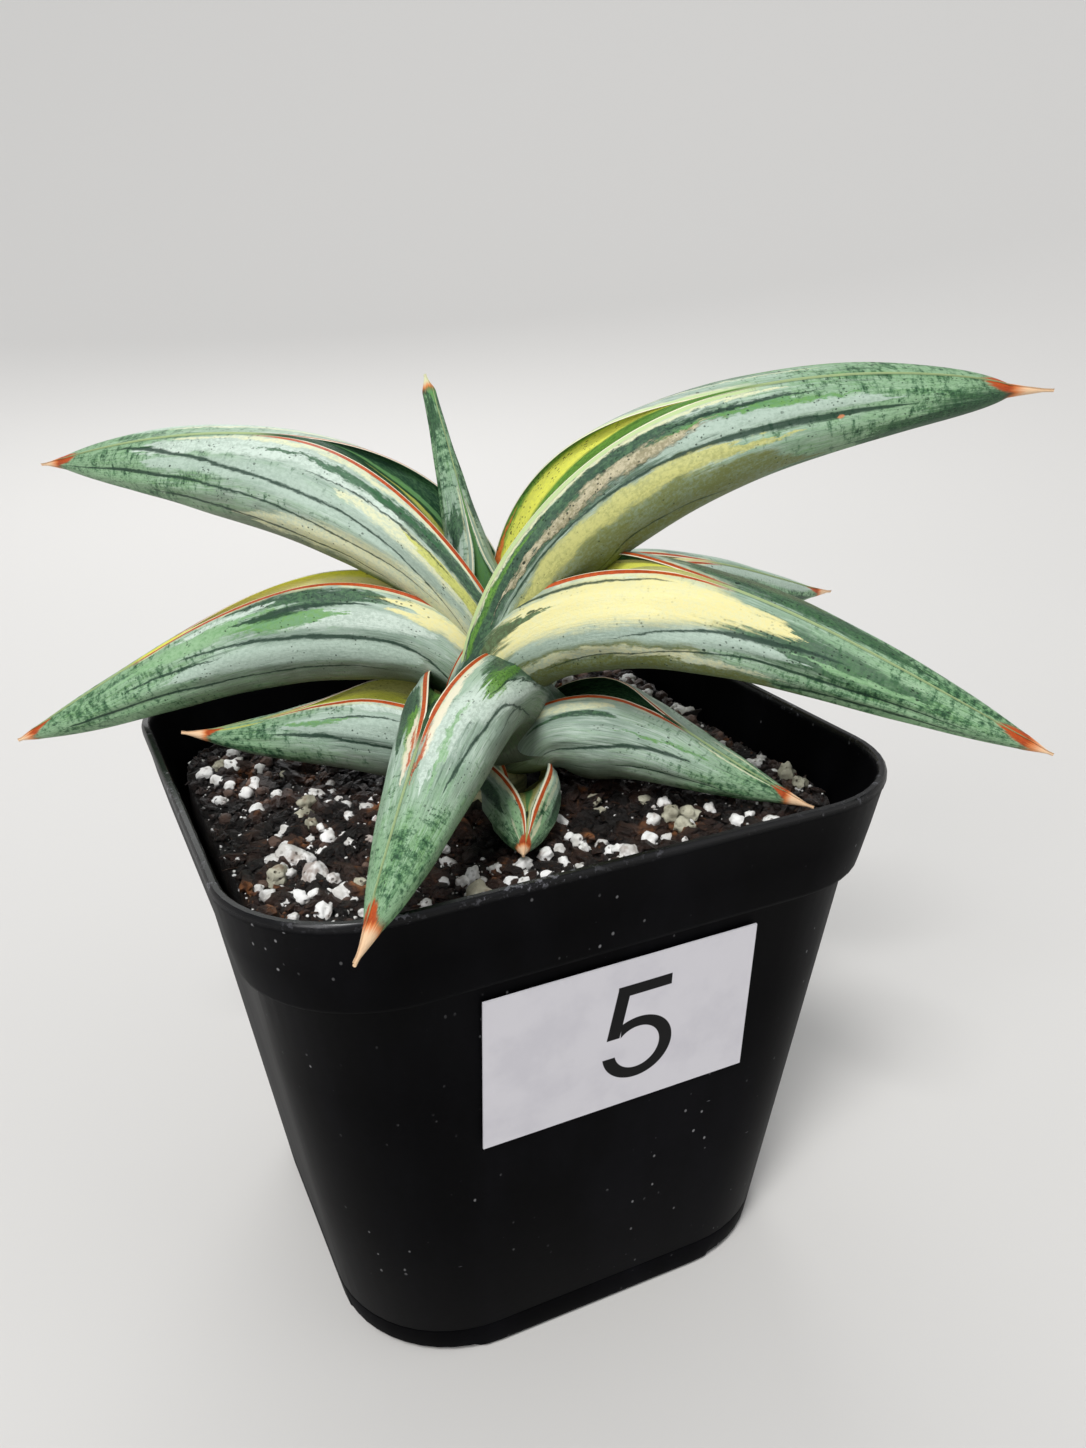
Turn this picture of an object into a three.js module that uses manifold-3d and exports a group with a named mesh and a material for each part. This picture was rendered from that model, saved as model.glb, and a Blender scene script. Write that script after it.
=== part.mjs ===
// A succulent snake plant in its square black nursery pot.
// Millimetres, +Z up. The origin is the centre of the pot's underside, and the label faces -Y.
import * as THREE from "three";
import { mergeVertices } from "three/addons/utils/BufferGeometryUtils.js";
import Module from "manifold-3d";

const wasm = await Module();
wasm.setup();
const { Manifold, Mesh: ManifoldMesh } = wasm;

// Driving dimensions
const CLEARANCE = 0.3; // between pieces that touch
const FINEST = 0.02; // detail smaller than this is left out
const MERGE_DISTANCE = 1e-3;

const POT = {
  height: 86.5,
  collarHeight: 14, // the plain band under the rim
  wall: 1.4,
  floor: 2,
  cornerSides: 6, // flat sides in each rounded corner
  // half width and corner radius of the outside, from the foot to the rim
  foot: { half: 36.7, radius: 19.8 },
  shoulder: { half: 46.2, radius: 18.7 },
  collar: { half: 47.7, radius: 19.4 },
  rim: { half: 50, radius: 19.5 },
};
const FOOT_CHAMFER = 1;
const COLLAR_STEP = 1; // how much height the collar's underside takes
const LIP = { height: 1.2, proud: 0.3, easing: 0.2 }; // the small roll along the rim
const NOTCH = { height: 1.3, inset: 6, length: 26 }; // the raised edge under each corner
const HOLE_SIDES = 16;
const DRAIN_HOLES = [
  { count: 4, radius: 4.5, distance: 33, turn: 45 }, // degrees
  { count: 4, radius: 3, distance: 24, turn: 0 },
];
const LABEL = { left: -20.4, right: 21.2, bottom: 43.5, top: 69.2, thickness: 0.7 };

const SOIL = {
  level: 77, // mean height of its top
  rings: 11,
  sideSteps: 5, // along each straight side of a ring
  swell: 0.9, // height of its low hills
  relief: 0.8, // height of its lumps
  crownHole: 6.6, // radius of the plain hole that the stem stands in
  crownHoleFloor: 55,
  crownHoleSides: 20,
};
const SOIL_SEED = 11;
// The lumps that show in the mix: how many are tried, and their least and greatest radius
const LUMPS = [
  { kind: "perlite", count: 28, least: 1.2, greatest: 2.3 },
  { kind: "pumice", count: 11, least: 2.2, greatest: 3.6 },
  { kind: "bark", count: 13, least: 2, greatest: 3.8 },
];

// Where a lump may lie: its reach from the centre, the room in the pot's rounded corners,
// the ring that it leaves free round the stem's hole, and how far its middle stands out of the mix
const LUMP_ROOM = { reach: 40, wall: 42, cornerCentre: 26, cornerRadius: 17, crown: 7 };
const LUMP_SHAPE = { least: 0.75, greatest: 1.2, flatness: 0.75, standing: 0.15 };

const STEM = { radius: 6.2, neck: 4.5, foot: 56, bevel: 6, footShare: 0.7, shoulder: 78, top: 89.4 };
const STEM_SIDES = 16;

const SPINE_RADIUS = 1.1; // of the horny tip where it leaves the blade
const SHUT_ANGLE = 176; // degrees from the keel to each margin where the blade has rolled shut
const MARGIN_THICKNESS = 0.9;
const CHANNEL_DEPTH = 0.6; // of the blade's own depth, at its base
const GROOVE_DEPTH = 0.02; // the same, where the channel has closed
const BLADE_STEPS = 18;
const PATH_STEPS = 6; // between two sections
const OUTER_SIDES = 12;
const INNER_SIDES = 6;
const HEEL = { drop: 3, size: 0.55 }; // the rounded foot of a leaf, below its first section

// Each leaf leaves the stem as an open sheath, bends over, and rolls shut towards its spine.
// from: centre of the first section. heading: degrees from +X at the base and the tip.
// rise: slope in degrees at the very base, after the bend, and at the tip; bend: how soon it bends.
// width: greatest half width; depth: of the section over its width; base: width at the foot over it.
// wide, spine, shut: places along the length, from 0 to 1, of the widest section, the spine's foot
// and the end of the channel. taper: the two powers that shape the narrowing.
// open: degrees from the keel to the right and left margin at the foot; roll: turn about its length.
const LEAVES = [
  {
    name: "leaf_centre", from: [1.5, 0, 90], heading: [92, 93], rise: [90, 65, 62], bend: 0.2,
    length: 55, width: 5.7, depth: 0.92, base: 1, wide: 0.35, spine: 0.95, taper: [0.4, 0.73],
    open: [116, 115], shut: 0.69, roll: [-3, 10],
  },
  {
    name: "leaf_right_high", from: [0.5, 0, 89.5], heading: [-34, -13], rise: [100, -21, -15], bend: 0.42,
    length: 115, width: 10.4, depth: 0.83, base: 0.82, wide: 0.37, spine: 0.93, taper: [1.1, 0.54],
    open: [117, 78], shut: 0.58, roll: [5, 45],
  },
  {
    name: "leaf_left_high", from: [4, -0.5, 89], heading: [140, 127], rise: [115, 9, -7], bend: 0.21,
    length: 116, width: 11.5, depth: 0.76, base: 0.62, wide: 0.39, spine: 0.95, taper: [1.2, 0.69],
    open: [106, 77], shut: 0.55, roll: [38, -56],
  },
  {
    name: "leaf_back_right", from: [0, 0.5, 86], heading: [17, 25], rise: [85, -32, -12], bend: 0.2,
    length: 118, width: 7.8, depth: 0.89, base: 0.91, wide: 0.27, spine: 0.93, taper: [1.7, 0.74],
    open: [115, 115], shut: 0.54, roll: [22, 42],
  },
  {
    name: "leaf_right_mid", from: [0, 0.5, 88], heading: [-43, -48], rise: [100, -40, -23], bend: 0.27,
    length: 98, width: 10, depth: 0.86, base: 0.9, wide: 0.31, spine: 0.96, taper: [1.1, 0.66],
    open: [115, 90], shut: 0.51, roll: [-2, 44],
  },
  {
    name: "leaf_left_mid", from: [0.5, 0.5, 88], heading: [142, 151], rise: [115, -40, -21], bend: 0.2,
    length: 96, width: 10.2, depth: 0.91, base: 0.53, wide: 0.34, spine: 0.96, taper: [0.9, 0.64],
    open: [108, 128], shut: 0.73, roll: [12, -29],
  },
  {
    name: "leaf_front", from: [0.5, 0, 86.5], heading: [236, 236], rise: [85, -32, -4], bend: 0.17,
    length: 76, width: 10.8, depth: 0.74, base: 1.51, wide: 0.08, spine: 0.91, taper: [1, 0.61],
    open: [132, 135], shut: 0.51, roll: [16, 24],
  },
  {
    name: "leaf_back_low", from: [2, 2, 83], heading: [48, 56], rise: [80, -14, -6], bend: 0.16,
    length: 62, width: 7.6, depth: 0.8, base: 0.95, wide: 0.3, spine: 0.92, taper: [1.2, 0.64],
    open: [112, 112], shut: 0.66, roll: [0, -8],
  },
  {
    name: "leaf_right_low", from: [9, -4, 84], heading: [-34, -57], rise: [75, -22, -9], bend: 0.11,
    length: 46, width: 11, depth: 0.72, base: 0.84, wide: 0.26, spine: 0.9, taper: [0.6, 0.67],
    open: [128, 145], shut: 0.51, roll: [-15, 27],
  },
  {
    name: "leaf_left_low", from: [-0.5, 0, 81], heading: [155, 151], rise: [85, -31, 7], bend: 0.17,
    length: 53, width: 8.8, depth: 0.91, base: 0.99, wide: 0.38, spine: 0.91, taper: [0.6, 0.62],
    open: [112, 114], shut: 0.72, roll: [4, -16],
  },
  {
    name: "leaf_front_small", from: [2.5, -6.5, 78], heading: [-110, -113], rise: [76, -6, -13], bend: 0.15,
    length: 26, width: 6.1, depth: 0.87, base: 0.76, wide: 0.29, spine: 0.93, taper: [2, 0.66],
    open: [118, 118], shut: 1.1, roll: [4, -24],
  },
];

const MATERIALS = {
  pot: new THREE.MeshStandardMaterial({ color: 0x141416, roughness: 0.42 }),
  label: new THREE.MeshStandardMaterial({ color: 0xd9d7dc, roughness: 0.6 }),
  soil: new THREE.MeshStandardMaterial({ color: 0x3a2a20, roughness: 0.95 }),
  stem: new THREE.MeshStandardMaterial({ color: 0xa9b08c, roughness: 0.7 }),
  leaf: new THREE.MeshStandardMaterial({ color: 0x8fb08c, roughness: 0.5 }),
};

// Seeded draws from 0 to 1, so that every build gives the same part
function seededDraws(seed) {
  let state = seed >>> 0;
  return () => {
    state = (Math.imul(state, 1664525) + 1013904223) >>> 0;
    return state / 4294967296;
  };
}
const radians = THREE.MathUtils.degToRad;
const clamp01 = (x) => Math.min(1, Math.max(0, x));
const ease = (x) => clamp01(x) ** 2 * (3 - 2 * clamp01(x));
const mix = (a, b, t) => a + (b - a) * t;

// A closed surface through rings of points, each with the same count, capped by a fan at both ends
function loft(rings) {
  const count = rings[0].length;
  const points = rings.flat();
  const faces = [];
  for (let r = 0; r + 1 < rings.length; r++) {
    for (let i = 0; i < count; i++) {
      const a = r * count + i;
      const b = r * count + ((i + 1) % count);
      faces.push(a, b, b + count, a, b + count, a + count);
    }
  }
  for (const [ring, start] of [[rings[0], true], [rings.at(-1), false]]) {
    const middle = ring.reduce((sum, p) => sum.add(p), new THREE.Vector3()).divideScalar(count);
    const hub = points.push(middle) - 1;
    const base = start ? 0 : (rings.length - 1) * count;
    for (let i = 0; i < count; i++) {
      const a = base + i;
      const b = base + ((i + 1) % count);
      faces.push(...(start ? [hub, b, a] : [hub, a, b]));
    }
  }
  const geometry = new THREE.BufferGeometry().setFromPoints(points);
  geometry.setIndex(faces);
  return geometry;
}

// The solid that a closed geometry bounds
function solidOf(geometry) {
  const bare = geometry.clone().deleteAttribute("normal").deleteAttribute("uv");
  const merged = mergeVertices(bare, MERGE_DISTANCE);
  return new Manifold(
    new ManifoldMesh({
      numProp: 3,
      vertProperties: merged.attributes.position.array,
      triVerts: new Uint32Array(merged.index.array),
    }),
  );
}

function geometryOf(solid) {
  const { vertProperties, triVerts } = solid.getMesh();
  const geometry = new THREE.BufferGeometry();
  geometry.setAttribute("position", new THREE.BufferAttribute(vertProperties, 3));
  geometry.setIndex(new THREE.BufferAttribute(triVerts, 1));
  return geometry;
}

// The largest body of a solid, so that no loose scrap is left of a cut
function largestBody(solid) {
  return solid.decompose().reduce((a, b) => (a.volume() > b.volume() ? a : b));
}

// A named mesh of a solid. Its close points are merged, and that can part a scrap from it once more.
function meshOf(name, solid, material) {
  const tidy = solidOf(geometryOf(largestBody(solid).simplify(FINEST)));
  const geometry = geometryOf(largestBody(tidy));
  geometry.computeVertexNormals();
  const mesh = new THREE.Mesh(geometry, material);
  mesh.name = name;
  return mesh;
}

// A square with rounded corners, as one ring of points at height z
function roundedSquare({ half, radius }, z, sideSteps = 1) {
  const quarter = [];
  for (let step = 0; step <= POT.cornerSides; step++) {
    const angle = (step / POT.cornerSides) * (Math.PI / 2);
    const straight = half - radius;
    const x = straight + radius * Math.cos(angle);
    quarter.push(new THREE.Vector3(x, straight + radius * Math.sin(angle), z));
  }
  for (let step = 1; step < sideSteps; step++) {
    const x = mix(half - radius, radius - half, step / sideSteps);
    quarter.push(new THREE.Vector3(x, half, z));
  }
  const up = new THREE.Vector3(0, 0, 1);
  return [0, 90, 180, 270].flatMap((turn) =>
    quarter.map((point) => point.clone().applyAxisAngle(up, radians(turn))),
  );
}
const inset = ({ half, radius }, by) => ({ half: half - by, radius: radius - by });
const between = (a, b, t) => ({ half: mix(a.half, b.half, t), radius: mix(a.radius, b.radius, t) });

const COLLAR_FOOT = POT.height - POT.collarHeight;
const INNER_SHOULDER = COLLAR_FOOT - 2 * COLLAR_STEP; // where the inner wall begins its taper
// The outside of the tapered body at height z
const bodyAt = (z) => between(POT.foot, POT.shoulder, z / COLLAR_FOOT);

function makePot() {
  const { height, wall, floor } = POT;
  const shell = loft([
    roundedSquare(inset(POT.foot, FOOT_CHAMFER), 0),
    roundedSquare(bodyAt(FOOT_CHAMFER), FOOT_CHAMFER),
    roundedSquare(POT.shoulder, COLLAR_FOOT - COLLAR_STEP),
    roundedSquare(POT.collar, COLLAR_FOOT),
    roundedSquare(inset(POT.rim, LIP.proud), height - LIP.height - 2 * LIP.easing),
    roundedSquare(POT.rim, height - LIP.height),
    roundedSquare(inset(POT.rim, LIP.easing), height),
    roundedSquare(inset(POT.rim, wall), height),
    roundedSquare(inset(POT.collar, wall), COLLAR_FOOT + COLLAR_STEP),
    roundedSquare(inset(POT.shoulder, wall), INNER_SHOULDER),
    roundedSquare(inset(bodyAt(floor), wall), floor),
  ]);
  let pot = solidOf(shell);
  for (const { count, radius, distance, turn } of DRAIN_HOLES) {
    for (let i = 0; i < count; i++) {
      const angle = radians(turn + (360 / count) * i);
      const drill = new THREE.CylinderGeometry(radius, radius, 4 * floor, HOLE_SIDES);
      drill.rotateX(Math.PI / 2);
      drill.translate(distance * Math.cos(angle), distance * Math.sin(angle), 0);
      pot = pot.subtract(solidOf(drill));
    }
  }
  // Each corner's edge is raised a little, so that water runs out
  const reach = POT.foot.half * Math.SQRT2;
  for (let corner = 0; corner < 4; corner++) {
    const cutter = new THREE.BoxGeometry(2 * NOTCH.inset, NOTCH.length, 2 * NOTCH.height);
    cutter.translate(reach - NOTCH.inset, 0, 0);
    cutter.rotateZ(radians(45 + 90 * corner));
    pot = pot.subtract(solidOf(cutter));
  }
  return meshOf("pot", pot, MATERIALS.pot);
}

// A thin sheet that lies on the slanted front of the pot
function makeLabel() {
  const { left, right, bottom, top, thickness } = LABEL;
  const face = (z, out) => -bodyAt(z).half - CLEARANCE - out;
  const sheet = loft(
    [bottom, top].map((z) => [
      new THREE.Vector3(left, face(z, 0), z),
      new THREE.Vector3(left, face(z, thickness), z),
      new THREE.Vector3(right, face(z, thickness), z),
      new THREE.Vector3(right, face(z, 0), z),
    ]),
  );
  return meshOf("label", solidOf(sheet), MATERIALS.label);
}

// Height of the potting mix at a place: low swells and a fine lumpiness
function soilHeight(x, y) {
  const swell = SOIL.swell * Math.sin(x / 13 + 1) * Math.cos(y / 11 - 0.5);
  const lumps = Math.sin(x * 1.1 + 2 * Math.sin(y * 0.7)) * Math.cos(y * 1.3 + Math.sin(x * 0.9));
  return SOIL.level + swell + SOIL.relief * lumps;
}

// A broken lump of mix: a ball of few faces, flattened and knocked out of round
function lumpGeometry(radius, draw) {
  const ball = new THREE.IcosahedronGeometry(radius, 0);
  const merged = mergeVertices(ball.deleteAttribute("normal").deleteAttribute("uv"), MERGE_DISTANCE);
  const place = merged.attributes.position;
  for (let i = 0; i < place.count; i++) {
    const knock = mix(LUMP_SHAPE.least, LUMP_SHAPE.greatest, draw());
    const rise = place.getZ(i) * knock * LUMP_SHAPE.flatness;
    place.setXYZ(i, place.getX(i) * knock, place.getY(i) * knock, rise);
  }
  merged.rotateZ(draw() * Math.PI);
  return merged;
}

// Whether a lump lies clear of the pot's wall, of its rounded corners and of the stem's hole
function hasRoom(x, y, radius) {
  const { wall, cornerCentre, cornerRadius, crown } = LUMP_ROOM;
  const past = [Math.abs(x) - cornerCentre, Math.abs(y) - cornerCentre];
  const inCorner = Math.min(...past) > 0;
  const clearOfCorner = !inCorner || Math.hypot(...past) + radius <= cornerRadius;
  const clearOfWall = Math.max(Math.abs(x), Math.abs(y)) < wall - radius;
  const clearOfCrown = Math.hypot(x, y) > SOIL.crownHole + crown + radius;
  return clearOfWall && clearOfCorner && clearOfCrown;
}

// The potting mix: a block that fills the pot, with a lumpy top made of rings that shrink to the
// middle, and the larger lumps joined to it
function makeSoil() {
  const draw = seededDraws(SOIL_SEED);
  const inside = (z) => inset(bodyAt(Math.min(z, INNER_SHOULDER)), POT.wall + CLEARANCE);
  const bottom = POT.floor + CLEARANCE;
  const ringAt = (size, z) => roundedSquare(size, z, SOIL.sideSteps);
  const edge = ringAt(inside(SOIL.level), SOIL.level);
  const rings = [
    ringAt(inside(bottom), bottom),
    ringAt(inside(INNER_SHOULDER), INNER_SHOULDER - COLLAR_STEP / 2),
  ];
  for (let r = 0; r < SOIL.rings; r++) {
    const out = 1 - r / SOIL.rings;
    rings.push(
      edge.map(({ x, y }) => new THREE.Vector3(x * out, y * out, soilHeight(x * out, y * out))),
    );
  }
  let soil = solidOf(loft(rings));
  for (const { count, least, greatest } of LUMPS) {
    for (let i = 0; i < count; i++) {
      const radius = mix(least, greatest, draw());
      const x = mix(-LUMP_ROOM.reach, LUMP_ROOM.reach, draw());
      const y = mix(-LUMP_ROOM.reach, LUMP_ROOM.reach, draw());
      const lump = lumpGeometry(radius, draw);
      if (!hasRoom(x, y, radius)) continue;
      lump.translate(x, y, soilHeight(x, y) + LUMP_SHAPE.standing * radius);
      soil = soil.add(solidOf(lump));
    }
  }
  const { crownHole, crownHoleFloor, crownHoleSides } = SOIL;
  const depth = POT.height - crownHoleFloor;
  const hole = new THREE.CylinderGeometry(crownHole, crownHole, depth, crownHoleSides);
  hole.rotateX(Math.PI / 2);
  hole.translate(0, 0, crownHoleFloor + depth / 2);
  return soil.subtract(solidOf(hole));
}

// The short stem that carries the leaves and stands in the hole in the mix
function stemSolid(grow) {
  const profile = [
    new THREE.Vector2(0, STEM.foot - grow),
    new THREE.Vector2(STEM.radius * STEM.footShare + grow, STEM.foot - grow),
    new THREE.Vector2(STEM.radius + grow, STEM.foot + STEM.bevel),
    new THREE.Vector2(STEM.radius + grow, STEM.shoulder),
    new THREE.Vector2(STEM.neck + grow, STEM.top + grow),
    new THREE.Vector2(0, STEM.top + grow),
  ];
  const turned = new THREE.LatheGeometry(profile, STEM_SIDES);
  turned.rotateX(Math.PI / 2);
  return solidOf(turned);
}

// The way a leaf's centre line points at place s from 0 to 1, and the level direction on its right
function directionsAt(leaf, s) {
  const [baseHeading, tipHeading] = leaf.heading;
  const [launch, shoulder, tip] = leaf.rise;
  const heading = radians(mix(tipHeading, baseHeading, (1 - s) ** 2));
  const rise = radians(mix(shoulder, tip, s) + (launch - shoulder) * Math.exp(-s / leaf.bend));
  const flat = Math.cos(rise);
  return {
    along: new THREE.Vector3(flat * Math.cos(heading), flat * Math.sin(heading), Math.sin(rise)),
    level: new THREE.Vector3(Math.sin(heading), -Math.cos(heading), 0),
  };
}

// A leaf's cross sections from its base to its spine, each with its centre and its own two axes
function sectionsOf(leaf) {
  const centre = new THREE.Vector3(...leaf.from);
  const sections = [];
  const steps = BLADE_STEPS * PATH_STEPS;
  for (let step = 0; step <= steps; step++) {
    const s = step / steps;
    if (step > 0) {
      centre.addScaledVector(directionsAt(leaf, s - 0.5 / steps).along, leaf.length / steps);
    }
    if (step % PATH_STEPS > 0) continue;
    const { along, level } = directionsAt(leaf, s);
    const right = level.applyAxisAngle(along, radians(mix(leaf.roll[0], leaf.roll[1], s)));
    const inward = new THREE.Vector3().crossVectors(right, along);
    const closing = ease(s / leaf.shut);
    const open = leaf.open.map((angle) => radians(mix(angle, SHUT_ANGLE, closing)));
    sections.push({ s, centre: centre.clone(), right, inward, closing, open, ...sizeAt(leaf, s) });
  }
  return sections;
}

// Half width and half depth of a leaf's section at place s
function sizeAt(leaf, s) {
  const narrowing = clamp01((s - leaf.wide) / (leaf.spine - leaf.wide));
  const widening = mix(leaf.base, 1, Math.sin((Math.PI / 2) * clamp01(s / leaf.wide)));
  const [power, bluntness] = leaf.taper;
  const blade = leaf.width * (s < leaf.wide ? widening : (1 - narrowing ** power) ** bluntness);
  const spine = SPINE_RADIUS * Math.min(1, Math.max(0.3, (1 - s) / (1 - leaf.spine)));
  return { width: Math.hypot(blade, spine), depth: Math.hypot(blade * leaf.depth, spine) };
}

// A point on a section's outside: u runs from -1 at its left margin to 1 at its right one
function outsidePoint(section, u, grow = 0) {
  const { centre, right, inward, width, depth, open } = section;
  const angle = u * (u > 0 ? open[0] : open[1]);
  return centre
    .clone()
    .addScaledVector(right, (width + grow) * Math.sin(angle))
    .addScaledVector(inward, -(depth + grow) * Math.cos(angle));
}

// A section's outside, from its right margin round the keel to its left one
function outsideArc(section, grow = 0) {
  const arc = [];
  for (let i = 0; i <= OUTER_SIDES; i++) {
    arc.push(outsidePoint(section, 1 - (2 * i) / OUTER_SIDES, grow));
  }
  return arc;
}

// The hollow between a section's margins, from the left margin to the right one
function channelArc(section) {
  const mouth = outsidePoint(section, -1).lerp(outsidePoint(section, 1), 0.5);
  const halfMouth = mouth.distanceTo(outsidePoint(section, 1));
  const atMargin = Math.max(0.45, 1 - MARGIN_THICKNESS / halfMouth);
  const atKeel = CHANNEL_DEPTH * (1 - section.closing) + GROOVE_DEPTH;
  const arc = [];
  for (let i = 0; i <= INNER_SIDES; i++) {
    const u = (2 * i) / INNER_SIDES - 1;
    const share = mix(atKeel, atMargin, Math.abs(u) ** 3);
    arc.push(mouth.clone().lerp(outsidePoint(section, u), share));
  }
  return arc;
}

// Outlines with one more below the first: the rounded heel that a leaf stands on
function withHeel(leaf, outlines, grow = 0) {
  const [x, y, z] = leaf.from;
  const start = new THREE.Vector3(x, y, z);
  const heel = new THREE.Vector3(x / 2, y / 2, z - HEEL.drop - grow);
  const shrink = HEEL.size + grow / leaf.width;
  const foot = outlines[0].map((point) => point.clone().sub(start).multiplyScalar(shrink).add(heel));
  return [foot, ...outlines];
}

function leafSolid(leaf) {
  const outlines = sectionsOf(leaf).map((section) => [...outsideArc(section), ...channelArc(section)]);
  return solidOf(loft(withHeel(leaf, outlines)));
}

// All the room that a leaf takes, with its channel filled and a clearance round it
function leafRoom(leaf) {
  const outlines = sectionsOf(leaf).map((section) => {
    const arc = outsideArc(section, CLEARANCE);
    const lift = section.inward.clone().multiplyScalar(2 * CLEARANCE);
    return [...arc, arc[0].clone().add(lift), arc.at(-1).clone().add(lift)];
  });
  const rings = withHeel(leaf, outlines, CLEARANCE);
  const links = rings.slice(1).map((ring, i) => {
    return Manifold.hull([...rings[i], ...ring].map((point) => point.toArray()));
  });
  return Manifold.union(links);
}

// The leaves are listed from the innermost out, and each sheath clears all that it wraps
function makeLeaves() {
  const inner = [stemSolid(CLEARANCE)];
  return LEAVES.map((leaf) => {
    const solid = inner.reduce((left, core) => left.subtract(core), leafSolid(leaf));
    inner.push(leafRoom(leaf));
    return meshOf(leaf.name, solid, MATERIALS.leaf);
  });
}

const soil = LEAVES.reduce((left, leaf) => left.subtract(leafRoom(leaf)), makeSoil());

const plant = new THREE.Group();
plant.add(makePot());
plant.add(makeLabel());
plant.add(meshOf("soil", soil, MATERIALS.soil));
plant.add(meshOf("stem", stemSolid(0), MATERIALS.stem));
plant.add(...makeLeaves());

export default plant;
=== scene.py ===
# %% [markdown]
# # A succulent snake plant in its square pot
# The plant is a small clump of thick leaves that clasp each other round a short stem. Each leaf
# leaves the stem as an open sheath, bends over, and rolls shut into a cigar with a horny spine.
# It stands in a gritty mix of bark and perlite, in a black plastic pot with a plain number label.
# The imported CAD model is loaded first, because every piece takes its place from it.

# %% Load the frame
import math
import random

import bmesh
import bpy
from mathutils import Matrix, Vector, noise


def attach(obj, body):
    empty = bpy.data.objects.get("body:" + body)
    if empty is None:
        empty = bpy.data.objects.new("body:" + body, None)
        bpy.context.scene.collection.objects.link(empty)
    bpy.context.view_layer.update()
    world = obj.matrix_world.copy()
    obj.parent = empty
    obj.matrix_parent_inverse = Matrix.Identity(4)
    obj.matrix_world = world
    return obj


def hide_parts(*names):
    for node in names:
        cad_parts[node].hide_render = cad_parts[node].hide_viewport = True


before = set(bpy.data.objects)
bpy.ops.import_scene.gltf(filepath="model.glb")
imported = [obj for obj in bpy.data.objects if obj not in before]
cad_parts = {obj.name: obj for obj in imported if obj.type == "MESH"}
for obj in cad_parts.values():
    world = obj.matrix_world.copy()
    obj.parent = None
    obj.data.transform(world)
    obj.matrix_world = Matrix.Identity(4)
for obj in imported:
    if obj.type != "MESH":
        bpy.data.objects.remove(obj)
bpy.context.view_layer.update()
MM = 0.001

# %% [markdown]
# ## The camera
# The photograph looks down on the pot from the front left, from close by, so the near edge of the
# pot looks much larger than the far one. A camera with the same place, turn and lens shows the
# same perspective, and all that is placed later depends on it. So it comes first.

# %% Camera at the photograph's viewpoint
CAMERA_PLACE = Vector((-64.707, -168.558, 157.116)) * MM
CAMERA_TURN = (68.848, 2.009, -24.684)  # degrees about X, Y and Z
CAMERA_SENSOR = 36  # mm, along the longer side of the picture
CAMERA_LENS = 29.79  # mm
NEAREST_SEEN = 0.01  # metres


def new_object(name, data):
    """A new object with this data, linked to the scene."""
    made = bpy.data.objects.new(name, data)
    bpy.context.scene.collection.objects.link(made)
    return made


camera_data = bpy.data.cameras.new("photo_camera")
camera_data.lens = CAMERA_LENS
camera_data.sensor_width = CAMERA_SENSOR
camera_data.clip_start = NEAREST_SEEN
camera = new_object("photo_camera", camera_data)
camera.location = CAMERA_PLACE
camera.rotation_euler = [math.radians(angle) for angle in CAMERA_TURN]
bpy.context.scene.camera = camera
print("camera", round(CAMERA_PLACE.length / MM), "mm from the pot's foot")

# %% [markdown]
# ## Shader maths as expressions
# A material is a web of small nodes, and wiring them one by one hides what they work out. Here a
# wire is one output of a node, and arithmetic on wires adds the Math nodes. A finish holds one
# material and adds every other node with a single method.

# %% Wires
class Wire:
    """One output of a node. Arithmetic on it adds Math nodes."""

    def __init__(self, finish, socket):
        self.finish = finish
        self.socket = socket

    def maths(self, operation, *others):
        inputs = dict(enumerate((self, *others)))
        return self.finish.node("ShaderNodeMath", {"operation": operation}, inputs)

    def __add__(self, other):
        return self.maths("ADD", other)

    def __sub__(self, other):
        return self.maths("SUBTRACT", other)

    def __rsub__(self, other):
        return self.finish.number(other).maths("SUBTRACT", self)

    def __mul__(self, other):
        return self.maths("MULTIPLY", other)

    def __truediv__(self, other):
        return self.maths("DIVIDE", other)

    __radd__ = __add__
    __rmul__ = __mul__

    def size(self):
        """The value without its sign."""
        return self.maths("ABSOLUTE")

    def most(self, other):
        """The greater of the two."""
        return self.maths("MAXIMUM", other)

    def beside(self, output):
        """Another output of the same node."""
        return Wire(self.finish, self.socket.node.outputs[output])


print("wires know how to add, subtract, multiply and divide")


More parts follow.
